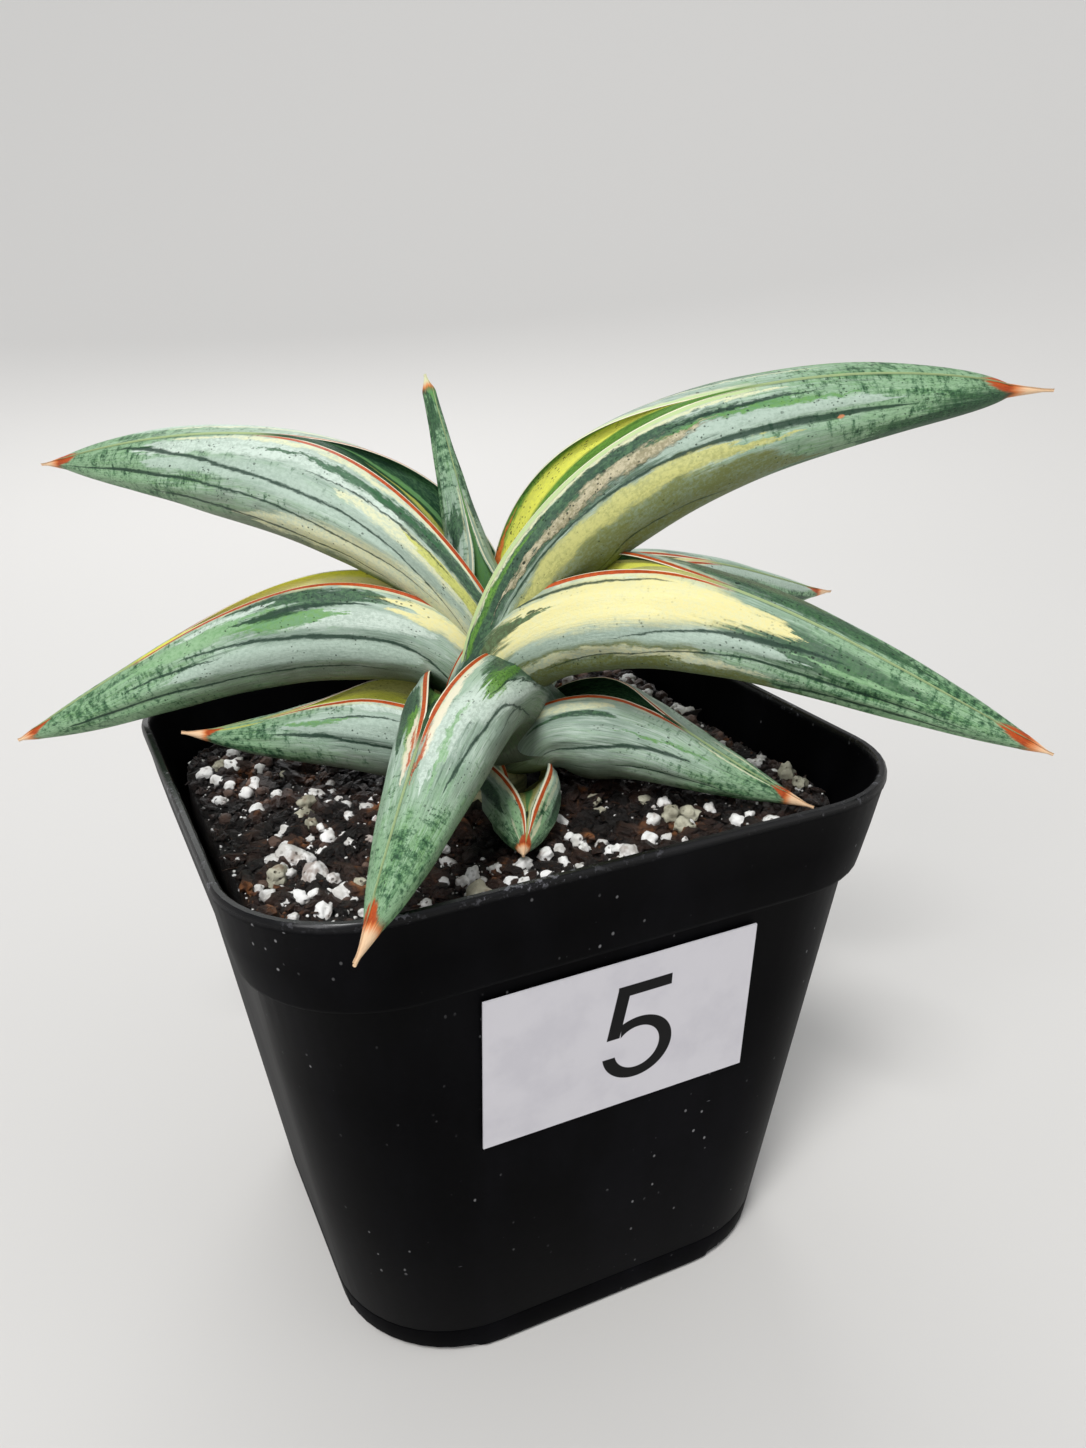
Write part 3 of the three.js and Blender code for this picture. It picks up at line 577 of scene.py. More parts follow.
# The channel of each leaf: its ground and the markings on it
CHANNELS = {
    "leaf_centre": ("fresh_green", []),
    "leaf_right_high": ("leaf_green", [
        ("canary", 0.8, [(0.1, -0.85, 0.08), (0.3, -0.8, 0.13), (0.5, -0.75, 0.16), (0.62, -0.7, 0.18)]),
        ("amber", 0.8, [(0.06, -0.97, 0.02), (0.15, -0.96, 0.04), (0.24, -0.97, 0.02)]),
        ("ivory", 0.5, [(0.3, 0.85, 0.04), (0.5, 0.8, 0.08), (0.62, 0.8, 0.06)]),
    ]),
    "leaf_left_high": ("deep_green", [
        ("lemon", 0.8, [(0.14, 0.4, 0.06), (0.24, 0.4, 0.1), (0.36, 0.42, 0.03)]),
        ("fresh_green", 1.0, [(0.24, 0.6, 0.02), (0.34, 0.6, 0.06), (0.44, 0.6, 0.03)]),
    ]),
    "leaf_back_right": ("cream", [("deep_green", 0.8, [(0.1, 0.8, 0.1), (0.4, 0.8, 0.1)])]),
    "leaf_right_mid": ("straw", [
        ("canary", 0.8, [(0.1, -0.5, 0.3), (0.3, -0.5, 0.25), (0.5, -0.5, 0.1)]),
        ("deep_green", 0.5, [(0.1, -0.93, 0.05), (0.3, -0.9, 0.08), (0.5, -0.9, 0.1)]),
    ]),
    "leaf_left_mid": ("canary", [("cream", 0.8, [(0.3, 0.8, 0.1), (0.5, 0.7, 0.3), (0.65, 0.7, 0.3)])]),
    "leaf_front": ("deep_green", [
        ("leaf_green", 0.8, [(0.1, 0.5, 0.1), (0.3, 0.5, 0.2)]),
        ("straw", 0.8, [(0.3, 0.9, 0.1), (0.4, 0.85, 0.15), (0.5, 0.8, 0.2)]),
    ]),
    "leaf_back_low": ("deep_green", []),
    "leaf_right_low": ("deep_green", []),
    "leaf_left_low": ("straw", [("canary", 0.8, [(0.3, 0.5, 0.2), (0.6, 0.5, 0.3)])]),
    "leaf_front_small": ("straw", [
        ("fresh_green", 0.8, [(0.2, -0.2, 0.1), (0.5, -0.2, 0.1), (0.7, -0.1, 0.06)]),
        ("ivory", 0.5, [(0.2, -0.6, 0.1), (0.5, -0.55, 0.12), (0.85, -0.4, 0.2)]),
        ("speck", 0.8, [(0.72, -0.1, 0.1), (0.76, 0, 0.16), (0.8, 0.1, 0.06)]),
    ]),
}
print(sum(len(marks) for marks in MARKINGS.values()), "markings lie outside the channels")

# %% [markdown]
# ## A leaf as a rolled grid
# A flat grid has rows and columns ready made, with square faces that follow the blade. Each of
# its points is moved to its place on the leaf: a column goes along the blade and a row once round
# it. Then the seam is merged and the two ends are closed. The surface swells and dips by a few
# tenths of a millimetre, as a thick leaf that stores water does, and long shallow flutes run
# along it. Two numbers are kept for the colours: the place on the blade as a UV map, and an
# attribute that tells the channel from the outside.

# %% Swells, flutes and the corky scar
SWELL = 0.18  # mm, the unevenness of the surface
RIBS = 1.8  # height of the long ribs, over the swell
FLUTE_DEPTH = 0.42  # mm
FLUTE_WIDTH = 0.05  # of the way from keel to margin
FLUTE_RUN_OUT = 0.06  # of the leaf's length, at both ends of a flute
CRUST_HEIGHT = 0.35  # mm, of a corky scar
EVEN_FOOT, EVEN_TIP = 0.08, 0.2  # of the length, over which it all fades at the foot and the spine


def along_path(path, s):
    """The u and the half width of a band at s, or nothing beyond its ends."""
    for (s0, u0, half0), (s1, u1, half1) in zip(path, path[1:]):
        if s0 <= s <= s1:
            share = (s - s0) / (s1 - s0)
            return blend(u0, u1, share), blend(half0, half1, share)
    return None


def unevenness(name, seed, s, u):
    """Height in mm of the swells, the flutes and the corky scar at a place on the blade."""
    swell = noise.noise(Vector((s * 9, u * 2.5, seed)))
    ribs = noise.noise(Vector((s * 1.6, u * 9, seed + 50)))
    height = SWELL * (swell + RIBS * ribs)
    for pigment, _, path in MARKINGS[name]:
        found = along_path(path, s) if pigment in ("vein", "cork") else None
        if not found:
            continue
        ends = ease(min(s - path[0][0], path[-1][0] - s) / FLUTE_RUN_OUT)
        near = ends * math.exp(-(((u - found[0]) / FLUTE_WIDTH) ** 2))
        if pigment == "vein":
            height -= FLUTE_DEPTH * near
        else:
            height += CRUST_HEIGHT * near * (1 + noise.noise(Vector((s * 60, u * 40, 0))))
    fade = ease(min(s / EVEN_FOOT, (LEAVES[name]["spine"] - s) / EVEN_TIP))
    return height * fade


in_flute = unevenness("leaf_right_high", 1, 0.5, 0.75)
print("in a flute the surface lies", round(-in_flute, 2), "mm under the plain form")

# %% From a bmesh to a piece
CREASE = 60  # degrees, above which an edge stays sharp


def mesh_of(shape, name):
    """Turns a bmesh into a mesh and lets the bmesh go."""
    mesh = bpy.data.meshes.new(name)
    shape.to_mesh(mesh)
    shape.free()
    return mesh


def finished(shape, name, nodes, smooth_below=CREASE):
    """Turns a bmesh into a piece that rides on the root body and stands for the CAD nodes named."""
    mesh = mesh_of(shape, name)
    mesh.shade_smooth()
    mesh.set_sharp_from_angle(angle=math.radians(smooth_below))
    piece = new_object(name, mesh)
    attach(piece, "root")
    if nodes:
        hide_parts(*nodes)
    return piece


print("edges sharper than", CREASE, "degrees stay sharp, unless a piece says otherwise")

# %% Roll a grid into a leaf
BLADE_ROWS = 130
HEEL_ROWS = 4
HEEL_DROP = 3  # mm, how far the rounded heel reaches below the first section
HEEL_SIZE = 0.55  # of the first section
SEAM_MERGE = 1e-7  # metres, between points that are one


def rolled_leaf(name, seed):
    """The finer piece of one leaf: a grid that is rolled round the leaf's sections."""
    leaf = LEAVES[name]
    found = sections(leaf, BLADE_ROWS)
    start = Vector(leaf["start"])
    heel = Vector((start.x / 2, start.y / 2, start.z - HEEL_DROP))
    rows = HEEL_ROWS + BLADE_ROWS
    columns = len(AROUND) - 1

    shape = bmesh.new()
    bmesh.ops.create_grid(shape, x_segments=columns, y_segments=rows, size=0.5)
    place = shape.loops.layers.uv.new("blade")
    inside = shape.verts.layers.float.new("inside")
    for vert in shape.verts:
        column = round((vert.co.x + 0.5) * columns)
        row = round((vert.co.y + 0.5) * rows) - HEEL_ROWS
        section = found[max(row, 0)]
        u, turn = AROUND[column]
        for loop in vert.link_loops:
            loop[place].uv = (max(row, 0) / BLADE_ROWS, (u + 1) / 2)
        vert[inside] = turn
        point = blade_point(section, u, turn, unevenness(name, seed, section["s"], u))
        if row < 0:
            foot = heel + (point - start) * HEEL_SIZE
            point = foot.lerp(point, math.sin(math.pi / 2 * (row + HEEL_ROWS) / HEEL_ROWS))
        vert.co = point * MM
    bmesh.ops.remove_doubles(shape, verts=shape.verts[:], dist=SEAM_MERGE)
    rim = [edge for edge in shape.edges if edge.is_boundary]
    bmesh.ops.holes_fill(shape, edges=rim, sides=0)
    bmesh.ops.recalc_face_normals(shape, faces=shape.faces[:])
    return finished(shape, name + "_blade", [name])


blades = {}
for seed, name in enumerate(LEAVES):
    blades[name] = rolled_leaf(name, seed)
print("leaves have", sum(len(blade.data.polygons) for blade in blades.values()), "faces")

# %% [markdown]
# ## The colours of a leaf
# A grey waxy bloom covers a green skin, and long streaks of dark green run where the veins lie.
# Whole zones lack their green and are cream or lemon, with borders that run out into fine lines.
# Towards the tip the leaf is fresh green with dark mottles that lie across it. A thin orange-brown
# line edges each margin, and the spine is rust red, then tan. An image could hold all this, but
# nobody could change it. Here the pigments are named once, and every layer mixes them by masks.

# %% Pigments
# The belly colour is painted shade for the underside of a leaf, where it faces down.
PIGMENTS = {name: paint(code) for name, code in dict(
    bloom="8A9E8F", pale_bloom="AEC0B2", white_bloom="C8D6CA", belly_shade="585C42", mint="8CB086",
    deep_green="133823", leaf_green="66963C", fresh_green="62905E", tip_green="2C5E38",
    vein="143224", cream="E4DA9A", ivory="D8D8B0", lemon="BDC060", canary="E6E65E", straw="BFBD76",
    olive="6C7238", membrane="E4DCC2", orange="B44E1C", rust="8A2C12", amber="D67A3C",
    horn="F0CBA4", cork="D4CAAA", cork_shade="6E6440", speck="0F2416", wound="CC8258",
    shade="23402F", ridge="B4C890",
).items()}
# How each pigment varies from place to place: the pigment mixed in, and how much of it
VARIATIONS = {
    "deep_green": ("fresh_green", 0.35), "leaf_green": ("deep_green", 0.6), "cream": ("ivory", 0.5),
    "lemon": ("olive", 0.5), "canary": ("lemon", 0.4), "straw": ("olive", 0.4), "olive": ("bloom", 0.4),
    "ivory": ("pale_bloom", 0.6), "white_bloom": ("bloom", 0.5), "pale_bloom": ("bloom", 0.5),
    "mint": ("fresh_green", 0.6), "fresh_green": ("leaf_green", 0.6), "tip_green": ("deep_green", 0.6),
    "cork": ("cork_shade", 0.55), "amber": ("orange", 0.6), "orange": ("rust", 0.5),
}
print(len(PIGMENTS), "pigments")

# %% [markdown]
# ## Patterns that every layer shares
# Each layer needs noise of some grain: broad patches, fine lines along the leaf, hair-thin lines,
# small mottles. They are made once for a leaf and kept by name. The place that they read is in
# millimetres on the blade, so the grain has the same size on a large leaf as on a small one.


# %% The shared patterns of one leaf
GIRTH = 4.4  # way round the outside from margin to margin, over the half width


def leaf_layers(finish, leaf, seed):
    """The two numbers of a place on the blade, its place in mm, and noise of every grain, by name."""
    blade = finish.node("ShaderNodeUVMap", {"uv_map": "blade"})
    s, across = finish.axis(blade, 0), finish.axis(blade, 1)
    girth = GIRTH * leaf["width"]
    inputs = {0: blade, 1: (leaf["length"], girth, 0), 2: (13 * seed, 7 * seed, 5 * seed)}
    place = finish.node("ShaderNodeVectorMath", {"operation": "MULTIPLY_ADD"}, inputs)

    def grain(scale, along, detail=4, roughness=0.6):
        """Noise whose grains are longer along the leaf where along is below 1."""
        return finish.noise(finish.stretch(place, (along, 1, 1)), scale, detail, roughness)

    layers = {
        "finish": finish, "s": s, "u": across * 2 - 1, "place": place, "girth": girth,
        "inner": finish.node("ShaderNodeAttribute", {"attribute_name": "inside"}, output="Fac"),
        "patches": grain(0.22, 0.3, 3),
        "wobble": grain(0.35, 0.5, 5) - 0.5,
        "fingers": grain(1.1, 0.05) - 0.5,
        "grit": grain(2.4, 0.35, 4, 0.65) - 0.5,
        "lines": grain(2.2, 0.1, 5, 0.65),
        "hairs": grain(5, 0.04, 3),
        "mottles": grain(1.8, 0.8, 6, 0.72),
        "crossing": grain(0.35, 3.2, 4, 0.65),
    }
    layers["mottled"] = finish.step(layers["mottles"] + layers["wobble"] * 0.5, 0.42, 0.62)
    layers["streak"] = layers["lines"] * 0.9 + 0.05
    return layers


print("a leaf has patterns of eight grains")


# %% A pigment that varies
def varied(layers, pigment):
    """A pigment with some of its variation mixed in, in small mottles."""
    if pigment not in VARIATIONS:
        return PIGMENTS[pigment]
    if pigment not in layers:
        other, share = VARIATIONS[pigment]
        amount = layers["mottled"] * share
        layers[pigment] = layers["finish"].mix(PIGMENTS[pigment], PIGMENTS[other], amount)
    return layers[pigment]


# %% [markdown]
# ## Skin first
# The layers go on in the order in which a painter would lay them. The skin comes first: bloom with
# fine lines in it, a dark olive along the keel that is painted shade on the underside, and towards
# the tip fresh green with mottles. A mottle is where several noises add up to more than a threshold,
# and the threshold falls towards the tip, so single specks grow together into blotches.


# %% Skin, bloom and mottles
# How much more mottled than the others some leaves are, or less where it is below 0
MOTTLED = {"leaf_centre": 0.03, "leaf_left_low": 0.02, "leaf_front": -0.01}


def skin(layers, name):
    """Bloom, painted shade along the keel, tip green, mottles and loose streaks, from the bottom layer up."""
    finish, s, lines = layers["finish"], layers["s"], layers["lines"]

    # Bloom in two greys, with whiter lines in it, and a dark olive along the keel as painted shade
    colour = finish.mix(PIGMENTS["bloom"], PIGMENTS["pale_bloom"], finish.step(layers["patches"], 0.4, 0.6))
    colour = finish.mix(colour, PIGMENTS["white_bloom"], finish.step(lines, 0.5, 0.3) * 0.5)
    keel_shade = finish.step(layers["u"].size() + layers["wobble"] * 0.3, 0.72, 0.2)
    colour = finish.mix(colour, PIGMENTS["belly_shade"], keel_shade * 0.85)

    # Towards the tip the bloom thins, and green streaks show through
    tipward = finish.step(s + layers["wobble"] * 0.35, 0.45, 0.8)
    colour = finish.mix(colour, varied(layers, "mint"), tipward * 0.8)
    green_streaks = finish.step(lines + layers["patches"], 0.95, 1.2)
    colour = finish.mix(colour, varied(layers, "fresh_green"), green_streaks * (0.3 + 0.4 * tipward))

    # Mottles that lie across the leaf, darker where the noises add up to more
    more = MOTTLED.get(name, 0.0)
    heaped = layers["mottles"] * 0.3 + layers["crossing"] * 0.5 + layers["patches"] * 0.3
    heaped = (heaped + tipward * 0.09 + more) * finish.step(s, 0.05, 0.4)
    colour = finish.mix(colour, varied(layers, "tip_green"), finish.step(heaped, 0.6, 0.7) * 0.75)
    colour = finish.mix(colour, PIGMENTS["deep_green"], finish.step(heaped, 0.69, 0.74) * 0.8)

    # Loose dark streaks, and lines as thin as hairs
    streaks = finish.noise(finish.stretch(layers["place"], (0.05, 1, 1)), 0.8, 5, 0.65)
    loose = finish.step(streaks, 0.58, 0.68) * finish.step(s, 0.05, 0.15)
    colour = finish.mix(colour, PIGMENTS["shade"], loose * 0.55)
    return finish.mix(colour, PIGMENTS["shade"], finish.step(layers["hairs"], 0.5, 0.7) * 0.4)


print("skin, bloom and mottles are ready")

# %% [markdown]
# ## Bands from paths
# A marking is a path of places with half widths. A colour ramp over s can hold such a path: its
# red is the middle of the band and its green the half width. The mask is 1 where the distance from
# the middle is less than the half width, and noise bends both, so a border ends in fingers.


# %% A band along a path
RUN_OUT = 0.04  # of the leaf's length, over which a band narrows to nothing


def as_stops(path):
    """A path of (s, u, half width) as ramp stops, with a short run to nothing at both ends."""
    (first_s, first_u, _), (last_s, last_u, _) = path[0], path[-1]
    run = min(RUN_OUT, (last_s - first_s) / 3)
    before = (max(0, first_s - run), first_u, 0)
    after = (min(1, last_s + run), last_u, 0)
    return [(s, ((u + 1) / 2, half, 0, 1)) for s, u, half in [before, *path, after]]


def bent(layers, ragged):
    """The two coordinates of a place, bent by noise for borders this ragged."""
    if ("bent", ragged) not in layers:
        along = layers["s"] + (layers["fingers"] * 0.2 + layers["wobble"] * 0.12) * ragged
        across = layers["u"] + layers["wobble"] * (0.14 * ragged)
        across = across + layers["grit"] * (0.015 + 0.05 * ragged) + 1
        layers["bent", ragged] = along, across
    return layers["bent", ragged]


def band(layers, path, ragged):
    """The mask of one marking, with fine lines in its border."""
    finish = layers["finish"]
    along, across = bent(layers, ragged)
    settings = {"stops": as_stops(path), "interpolation": "CARDINAL"}
    ramp = finish.node("ShaderNodeValToRGB", settings, {0: along})
    middle = finish.node("ShaderNodeSeparateColor", {}, {0: ramp}, output=0)
    half = middle.beside(1)
    away = (across - middle * 2).size()
    inside = (half - away - 0.004) / (half * 0.8 + 0.006)
    return finish.step(inside + layers["streak"], 0.1, 0.9)


scar_path = next(path for pigment, _, path in MARKINGS["leaf_right_high"] if pigment == "cork")
print("the scar's path has", len(scar_path), "places, and its ramp", len(as_stops(scar_path)), "stops")

# %% Lay the markings over a colour
FAR_SHIFT = 0.04  # of the length, how much further out the far side's zones lie
FAR_SPREAD = 0.92  # how far from the keel they lie, over the near side's distance


def marked(layers, marks, colour, where):
    """Lays markings over a colour, as strongly as where tells, and keeps the masks used later."""
    finish = layers["finish"]
    for pigment, ragged, path in marks:
        mask = band(layers, path, ragged) * where
        colour = finish.mix(colour, varied(layers, pigment), mask)
        # The relief reads the scar's mask later, and the specks those of the cream and green zones
        if pigment == "cork":
            layers["crust"] = mask
        if pigment == "cream":
            layers["clean"] = mask
        if pigment in ("deep_green", "leaf_green"):
            layers["greens"] = layers["greens"].most(mask) if "greens" in layers else mask
    return colour


def far_side(marks):
    """The zones again for the side of a leaf that the photograph doesn't show."""
    echoes = []
    for pigment, ragged, path in marks:
        if pigment not in ("vein", "cork", "wound"):
            echo = [(min(1, s + FAR_SHIFT), -FAR_SPREAD * u, half) for s, u, half in path]
            echoes.append((pigment, ragged, echo))
    return echoes


print("the far side of the left middle leaf has", len(far_side(MARKINGS["leaf_left_mid"])), "zones")

# %% Specks
# Each size: the scale of its cells, its radius in a cell, the noise above which specks gather, and
# how strong they are
SPECKS = [(0.8, 0.2, 0.58, 0.9), (1.7, 0.26, 0.54, 0.8)]


def speckled(layers, colour):
    """Black-green specks of two sizes, in loose groups."""
    finish = layers["finish"]
    crowd = finish.step(layers["s"], 0.45, 0.7) * 0.04
    if "greens" in layers:
        crowd = crowd + layers["greens"] * 0.12
    for scale, size, groups_at, strength in SPECKS:
        cells = finish.cells(finish.stretch(layers["place"], (0.8, 1, 1)), scale)
        grouped = finish.noise(layers["place"], 0.2 * scale, 3) + crowd
        groups = finish.step(grouped, groups_at, groups_at + 0.1)
        torn = cells + layers["grit"] * 0.2
        specks = finish.step(torn, size, size * 0.7) * groups * finish.step(layers["s"], 0.05, 0.25)
        if "clean" in layers:
            specks = specks * (1 - layers["clean"] * 0.8)
        colour = finish.mix(colour, PIGMENTS["speck"], specks * strength)
    return colour


print(len(SPECKS), "sizes of speck")

# %% [markdown]
# ## Margins and spine
# The edge of the blade is a thin orange-brown line with a pale membrane on its inner side. Where
# the leaf has rolled shut, only a fine pale ridge is left of the two margins. The red of the spine
# reaches back along that ridge in a short wedge, and the horn itself is slim and tan.

# %% Edges and spines
LINE_WIDTH = 0.16  # mm, of the orange-brown line on the outside
FULL_MARGIN = 9  # mm, half width of a leaf from which its margins have their full thickness
# The left and the right margin of the leaves that lack the orange-brown line
MARGINS = {"leaf_centre": ("bloom", "bloom"), "leaf_right_high": ("ridge", "ridge")}
# The wedge and the horn of a spine that isn't rust red and tan
SPINES = {"leaf_centre": ("fresh_green", "ivory")}


def edged(layers, leaf, name, colour):
    """The margins of the open part, and the ridge that is left of them further out."""
    finish, u, inner = (layers[key] for key in ("finish", "u", "inner"))
    ragged_s = layers["s"] + layers["fingers"] * 0.06
    open_part = finish.step(ragged_s, leaf["shut"] + 0.02, leaf["shut"] - 0.04)
    on_outside = finish.step(inner, 0.4, 0.2)
    to_margin = (1 - u.size()) * (layers["girth"] / 2) * on_outside

    # A broken pale wash along the open margins
    broken = to_margin + layers["grit"] * 0.3 + layers["wobble"] * 0.5
    pale = finish.step(broken, 0.8, 0.4) * finish.step(layers["wobble"], -0.08, 0.05)
    colour = finish.mix(colour, PIGMENTS["ivory"], pale * on_outside * open_part * 0.6)

    # The ridge of the rolled part, with painted shade in the crease on both its sides
    crease_shade = finish.step(inner, 0.1, 0.3) * (1 - open_part)
    colour = finish.mix(colour, PIGMENTS["shade"], crease_shade * 0.5)
    ridge = finish.step(inner, 0.4, 0.9) * (1 - open_part)
    colour = finish.mix(colour, PIGMENTS["ridge"], ridge * 0.85)

    # The coloured line, and the membrane on its inner side
    thin = min(1, leaf["width"] / FULL_MARGIN)
    left, right = MARGINS.get(name, ("orange", "orange"))
    line_colour = finish.mix(varied(layers, left), varied(layers, right), finish.step(u, -0.1, 0.1))
    width = LINE_WIDTH + layers["wobble"] * 0.25 + layers["grit"] * 0.15
    line = finish.step(to_margin / width, 1.2, 0.8) * finish.step(inner, 0.46 * thin, 0.36 * thin)
    colour = finish.mix(colour, line_colour, line * open_part)
    membrane = finish.step(inner, 0.36 * thin, 0.46 * thin) * finish.step(inner, 0.8 * thin, 0.65 * thin)
    return finish.mix(colour, PIGMENTS["membrane"], membrane * open_part)


def horned(layers, leaf, name, colour):
    """The wedge of colour that runs back along the ridge, and the spine itself."""
    finish = layers["finish"]
    wedge, horn = SPINES.get(name, ("orange", "horn"))
    ragged = layers["wobble"] * 0.02 + layers["fingers"] * 0.04
    past_foot = layers["s"] - leaf["spine"] + ragged
    along_ridge = past_foot + (layers["u"].size() - 0.8) * 0.16
    colour = finish.mix(colour, varied(layers, wedge), finish.step(along_ridge, -0.02, -0.005))
    colour = finish.mix(colour, PIGMENTS["rust"], finish.step(past_foot, -0.012, 0.0) * 0.35)
    colour = finish.mix(colour, PIGMENTS["amber"], finish.step(past_foot, -0.002, 0.012))
    return finish.mix(colour, PIGMENTS[horn], finish.step(past_foot, 0.005, 0.03))


print(len(MARGINS), "leaves have margins of their own colour")

# %% [markdown]
# ## All layers together
# The channel inside a leaf has a ground of its own, and its own few markings. The relief comes from
# the same noises as the colours, so a pale line is also a low one, and the corky scar stands out.


# %% Paint every leaf
NEAR_STRENGTH = 0.9  # how far a marking covers the skin under it
FAR_STRENGTH = 0.75
SKIN_RELIEF = 0.0002  # metres


def leaf_finish(name, seed):
    """The material of one leaf, with its layers in the order in which they lie."""
    leaf = LEAVES[name]
    finish = Finish(name + "_skin")
    layers = leaf_layers(finish, leaf, seed)
    colour = skin(layers, name)
    if name not in SEEN_ON_BOTH_SIDES:
        colour = marked(layers, far_side(MARKINGS[name]), colour, FAR_STRENGTH)
    colour = marked(layers, MARKINGS[name], colour, NEAR_STRENGTH)
    still_open = finish.step(layers["s"], leaf["shut"] + 0.04, leaf["shut"])
    in_channel = finish.step(layers["inner"], 0.75, 0.9) * still_open
    ground, marks = CHANNELS[name]
    colour = finish.mix(colour, varied(layers, ground), in_channel)
    colour = marked(layers, marks, colour, in_channel)
    colour = speckled(layers, colour)
    colour = edged(layers, leaf, name, colour)
    colour = horned(layers, leaf, name, colour)

    pebbles = finish.noise(layers["place"], 3.2, 3, 0.6)
    relief = layers["lines"] * 0.8 + pebbles * 0.5 + layers["mottles"] * 0.3
    if "crust" in layers:
        relief = relief + layers["crust"] * finish.noise(layers["place"], 1.6, 5, 0.75) * 4
    rough = 0.38 + 0.24 * pebbles
    finish.set(Base_Color=colour, Roughness=rough, Specular_IOR_Level=0.22)
    finish.set(Normal=finish.bump(relief, SKIN_RELIEF, strength=0.7))
    return finish.material


for seed, (name, blade) in enumerate(blades.items()):
    blade.data.materials.append(leaf_finish(name, seed))
print("painted", len(blades), "leaves")

# %% [markdown]
# ## The pot
# A thin moulded pot: a square with generous round corners that widens upwards, a plain collar
# round its top, and a small rolled lip. A square face with its four corners bevelled gives the
# outline, and pulling its edge up from one outline to the next gives the walls, outside first,
# over the lip, and down the inside. The drain holes and the raised corner edges are cut last.

# %% Outlines of the pot
FOOT = (36.7, 19.8)  # half width and corner radius, mm
SHOULDER = (46.2, 18.7)
COLLAR = (47.7, 19.4)
RIM = (50, 19.5)
POT_HEIGHT = 86.5
COLLAR_FOOT = 72.5
WALL = 1.4
FLOOR = 2


def between(a, b, t):
    """An outline part of the way from one to the other."""
    return tuple(blend(x, y, t) for x, y in zip(a, b))


def inset(outline, by):
    """An outline moved inwards by some mm."""
    return outline[0] - by, outline[1] - by


def body_at(z):
    """The outline of the tapered body at height z."""
    return between(FOOT, SHOULDER, z / COLLAR_FOOT)


# Every outline that the wall passes, with its height
POT_PROFILE = [
    # The rounded foot, with the fine groove that runs round it
    (inset(FOOT, 1), 0), (inset(FOOT, 0.4), 0.2), (inset(body_at(1), 0.05), 0.7), (body_at(1.2), 1.2),
    (body_at(5), 5), (inset(body_at(5.2), 0.12), 5.2), (body_at(5.6), 5.6),
    # The tapered body
    (body_at(30), 30), (body_at(55), 55), (body_at(71), 71),
    # The step out to the collar, and the collar
    (inset(SHOULDER, -0.1), 71.6), (inset(COLLAR, 0.6), 72), (inset(COLLAR, 0.15), 72.3),
    (COLLAR, 72.8), (between(COLLAR, RIM, 0.45), 78.5),
    # Over the rolled lip
    (inset(RIM, 0.32), 84.8), (inset(RIM, 0.05), 85.2), (RIM, 85.7), (inset(RIM, 0.1), 86.2),
    (inset(RIM, 0.4), POT_HEIGHT), (inset(RIM, 1.1), POT_HEIGHT), (inset(RIM, 1.4), 86.2),
    # Down the inside to the floor
    (inset(RIM, 1.6), 85), (inset(COLLAR, WALL), 73.5), (inset(SHOULDER, WALL), 70.5),
    (inset(body_at(35), WALL), 35), (inset(body_at(4), WALL), 4), (inset(body_at(2.6), 2.2), 2.3),
    (inset(body_at(2), 3), FLOOR),
]
print("the pot is", 2 * RIM[0], "mm wide and", POT_HEIGHT, "mm high")


# %% Pull the walls up through the outlines
def move_outline(verts, old, new, z):
    """Moves a ring of points from one rounded square to another, corner to corner."""
    old_core, new_core = old[0] - old[1], new[0] - new[1]
    for vert in verts:
        for axis in (0, 1):
            off_centre = abs(vert.co[axis]) / MM
            if off_centre > old_core:
                off_centre = new_core + (off_centre - old_core) / old[1] * new[1]
            else:
                off_centre = off_centre * new_core / old_core
            vert.co[axis] = math.copysign(off_centre * MM, vert.co[axis])
        vert.co.z = z * MM


def rounded_square(shape, outline, corner_segments=12, side_cuts=7):
    """A flat face in the outline of a rounded square, with cuts along its straight sides."""
    half, radius = outline
    square = bmesh.ops.create_grid(shape, x_segments=1, y_segments=1, size=half * MM)["verts"]
    bmesh.ops.bevel(
        shape, geom=square, offset=radius * MM, offset_type="OFFSET", segments=corner_segments,
        profile=0.5, affect="VERTICES", material=-1, clamp_overlap=False,
    )
    sides = [edge for edge in shape.edges if edge.calc_length() > 2 * (half - radius) * MM * 0.99]
    bmesh.ops.subdivide_edges(shape, edges=sides, cuts=side_cuts)


def pulled_up(shape, ring, profile):
    """Extrudes a ring of edges through every outline of a profile and returns the last ring."""
    for (old, _), (new, z) in zip(profile, profile[1:]):
        pulled = bmesh.ops.extrude_edge_only(shape, edges=ring)["geom"]
        verts = [item for item in pulled if isinstance(item, bmesh.types.BMVert)]
        ring = [item for item in pulled if isinstance(item, bmesh.types.BMEdge) and item.is_boundary]
        move_outline(verts, old, new, z)
    return ring


POT_CREASE = 40  # degrees, above which an edge of the pot stays sharp
pot_shape = bmesh.new()
rounded_square(pot_shape, POT_PROFILE[0][0])
last_ring = pulled_up(pot_shape, pot_shape.edges[:], POT_PROFILE)
bmesh.ops.holes_fill(pot_shape, edges=last_ring, sides=0)
bmesh.ops.recalc_face_normals(pot_shape, faces=pot_shape.faces[:])
pot = finished(pot_shape, "moulded_pot", ["pot"], smooth_below=POT_CREASE)
print("pot wall has", len(pot.data.polygons), "faces before its holes are cut")

# %% Cut the drain holes and the raised corner edges
DRAIN_HOLES = [(4, 4.5, 33, 45), (4, 3, 24, 0)]  # count, radius, distance from the centre, turn
HOLE_SIDES = 28
NOTCH_INSET = 6  # mm, how far the raised edge reaches in at each corner
NOTCH_WIDTH = 26
NOTCH_HEIGHT = 1.3

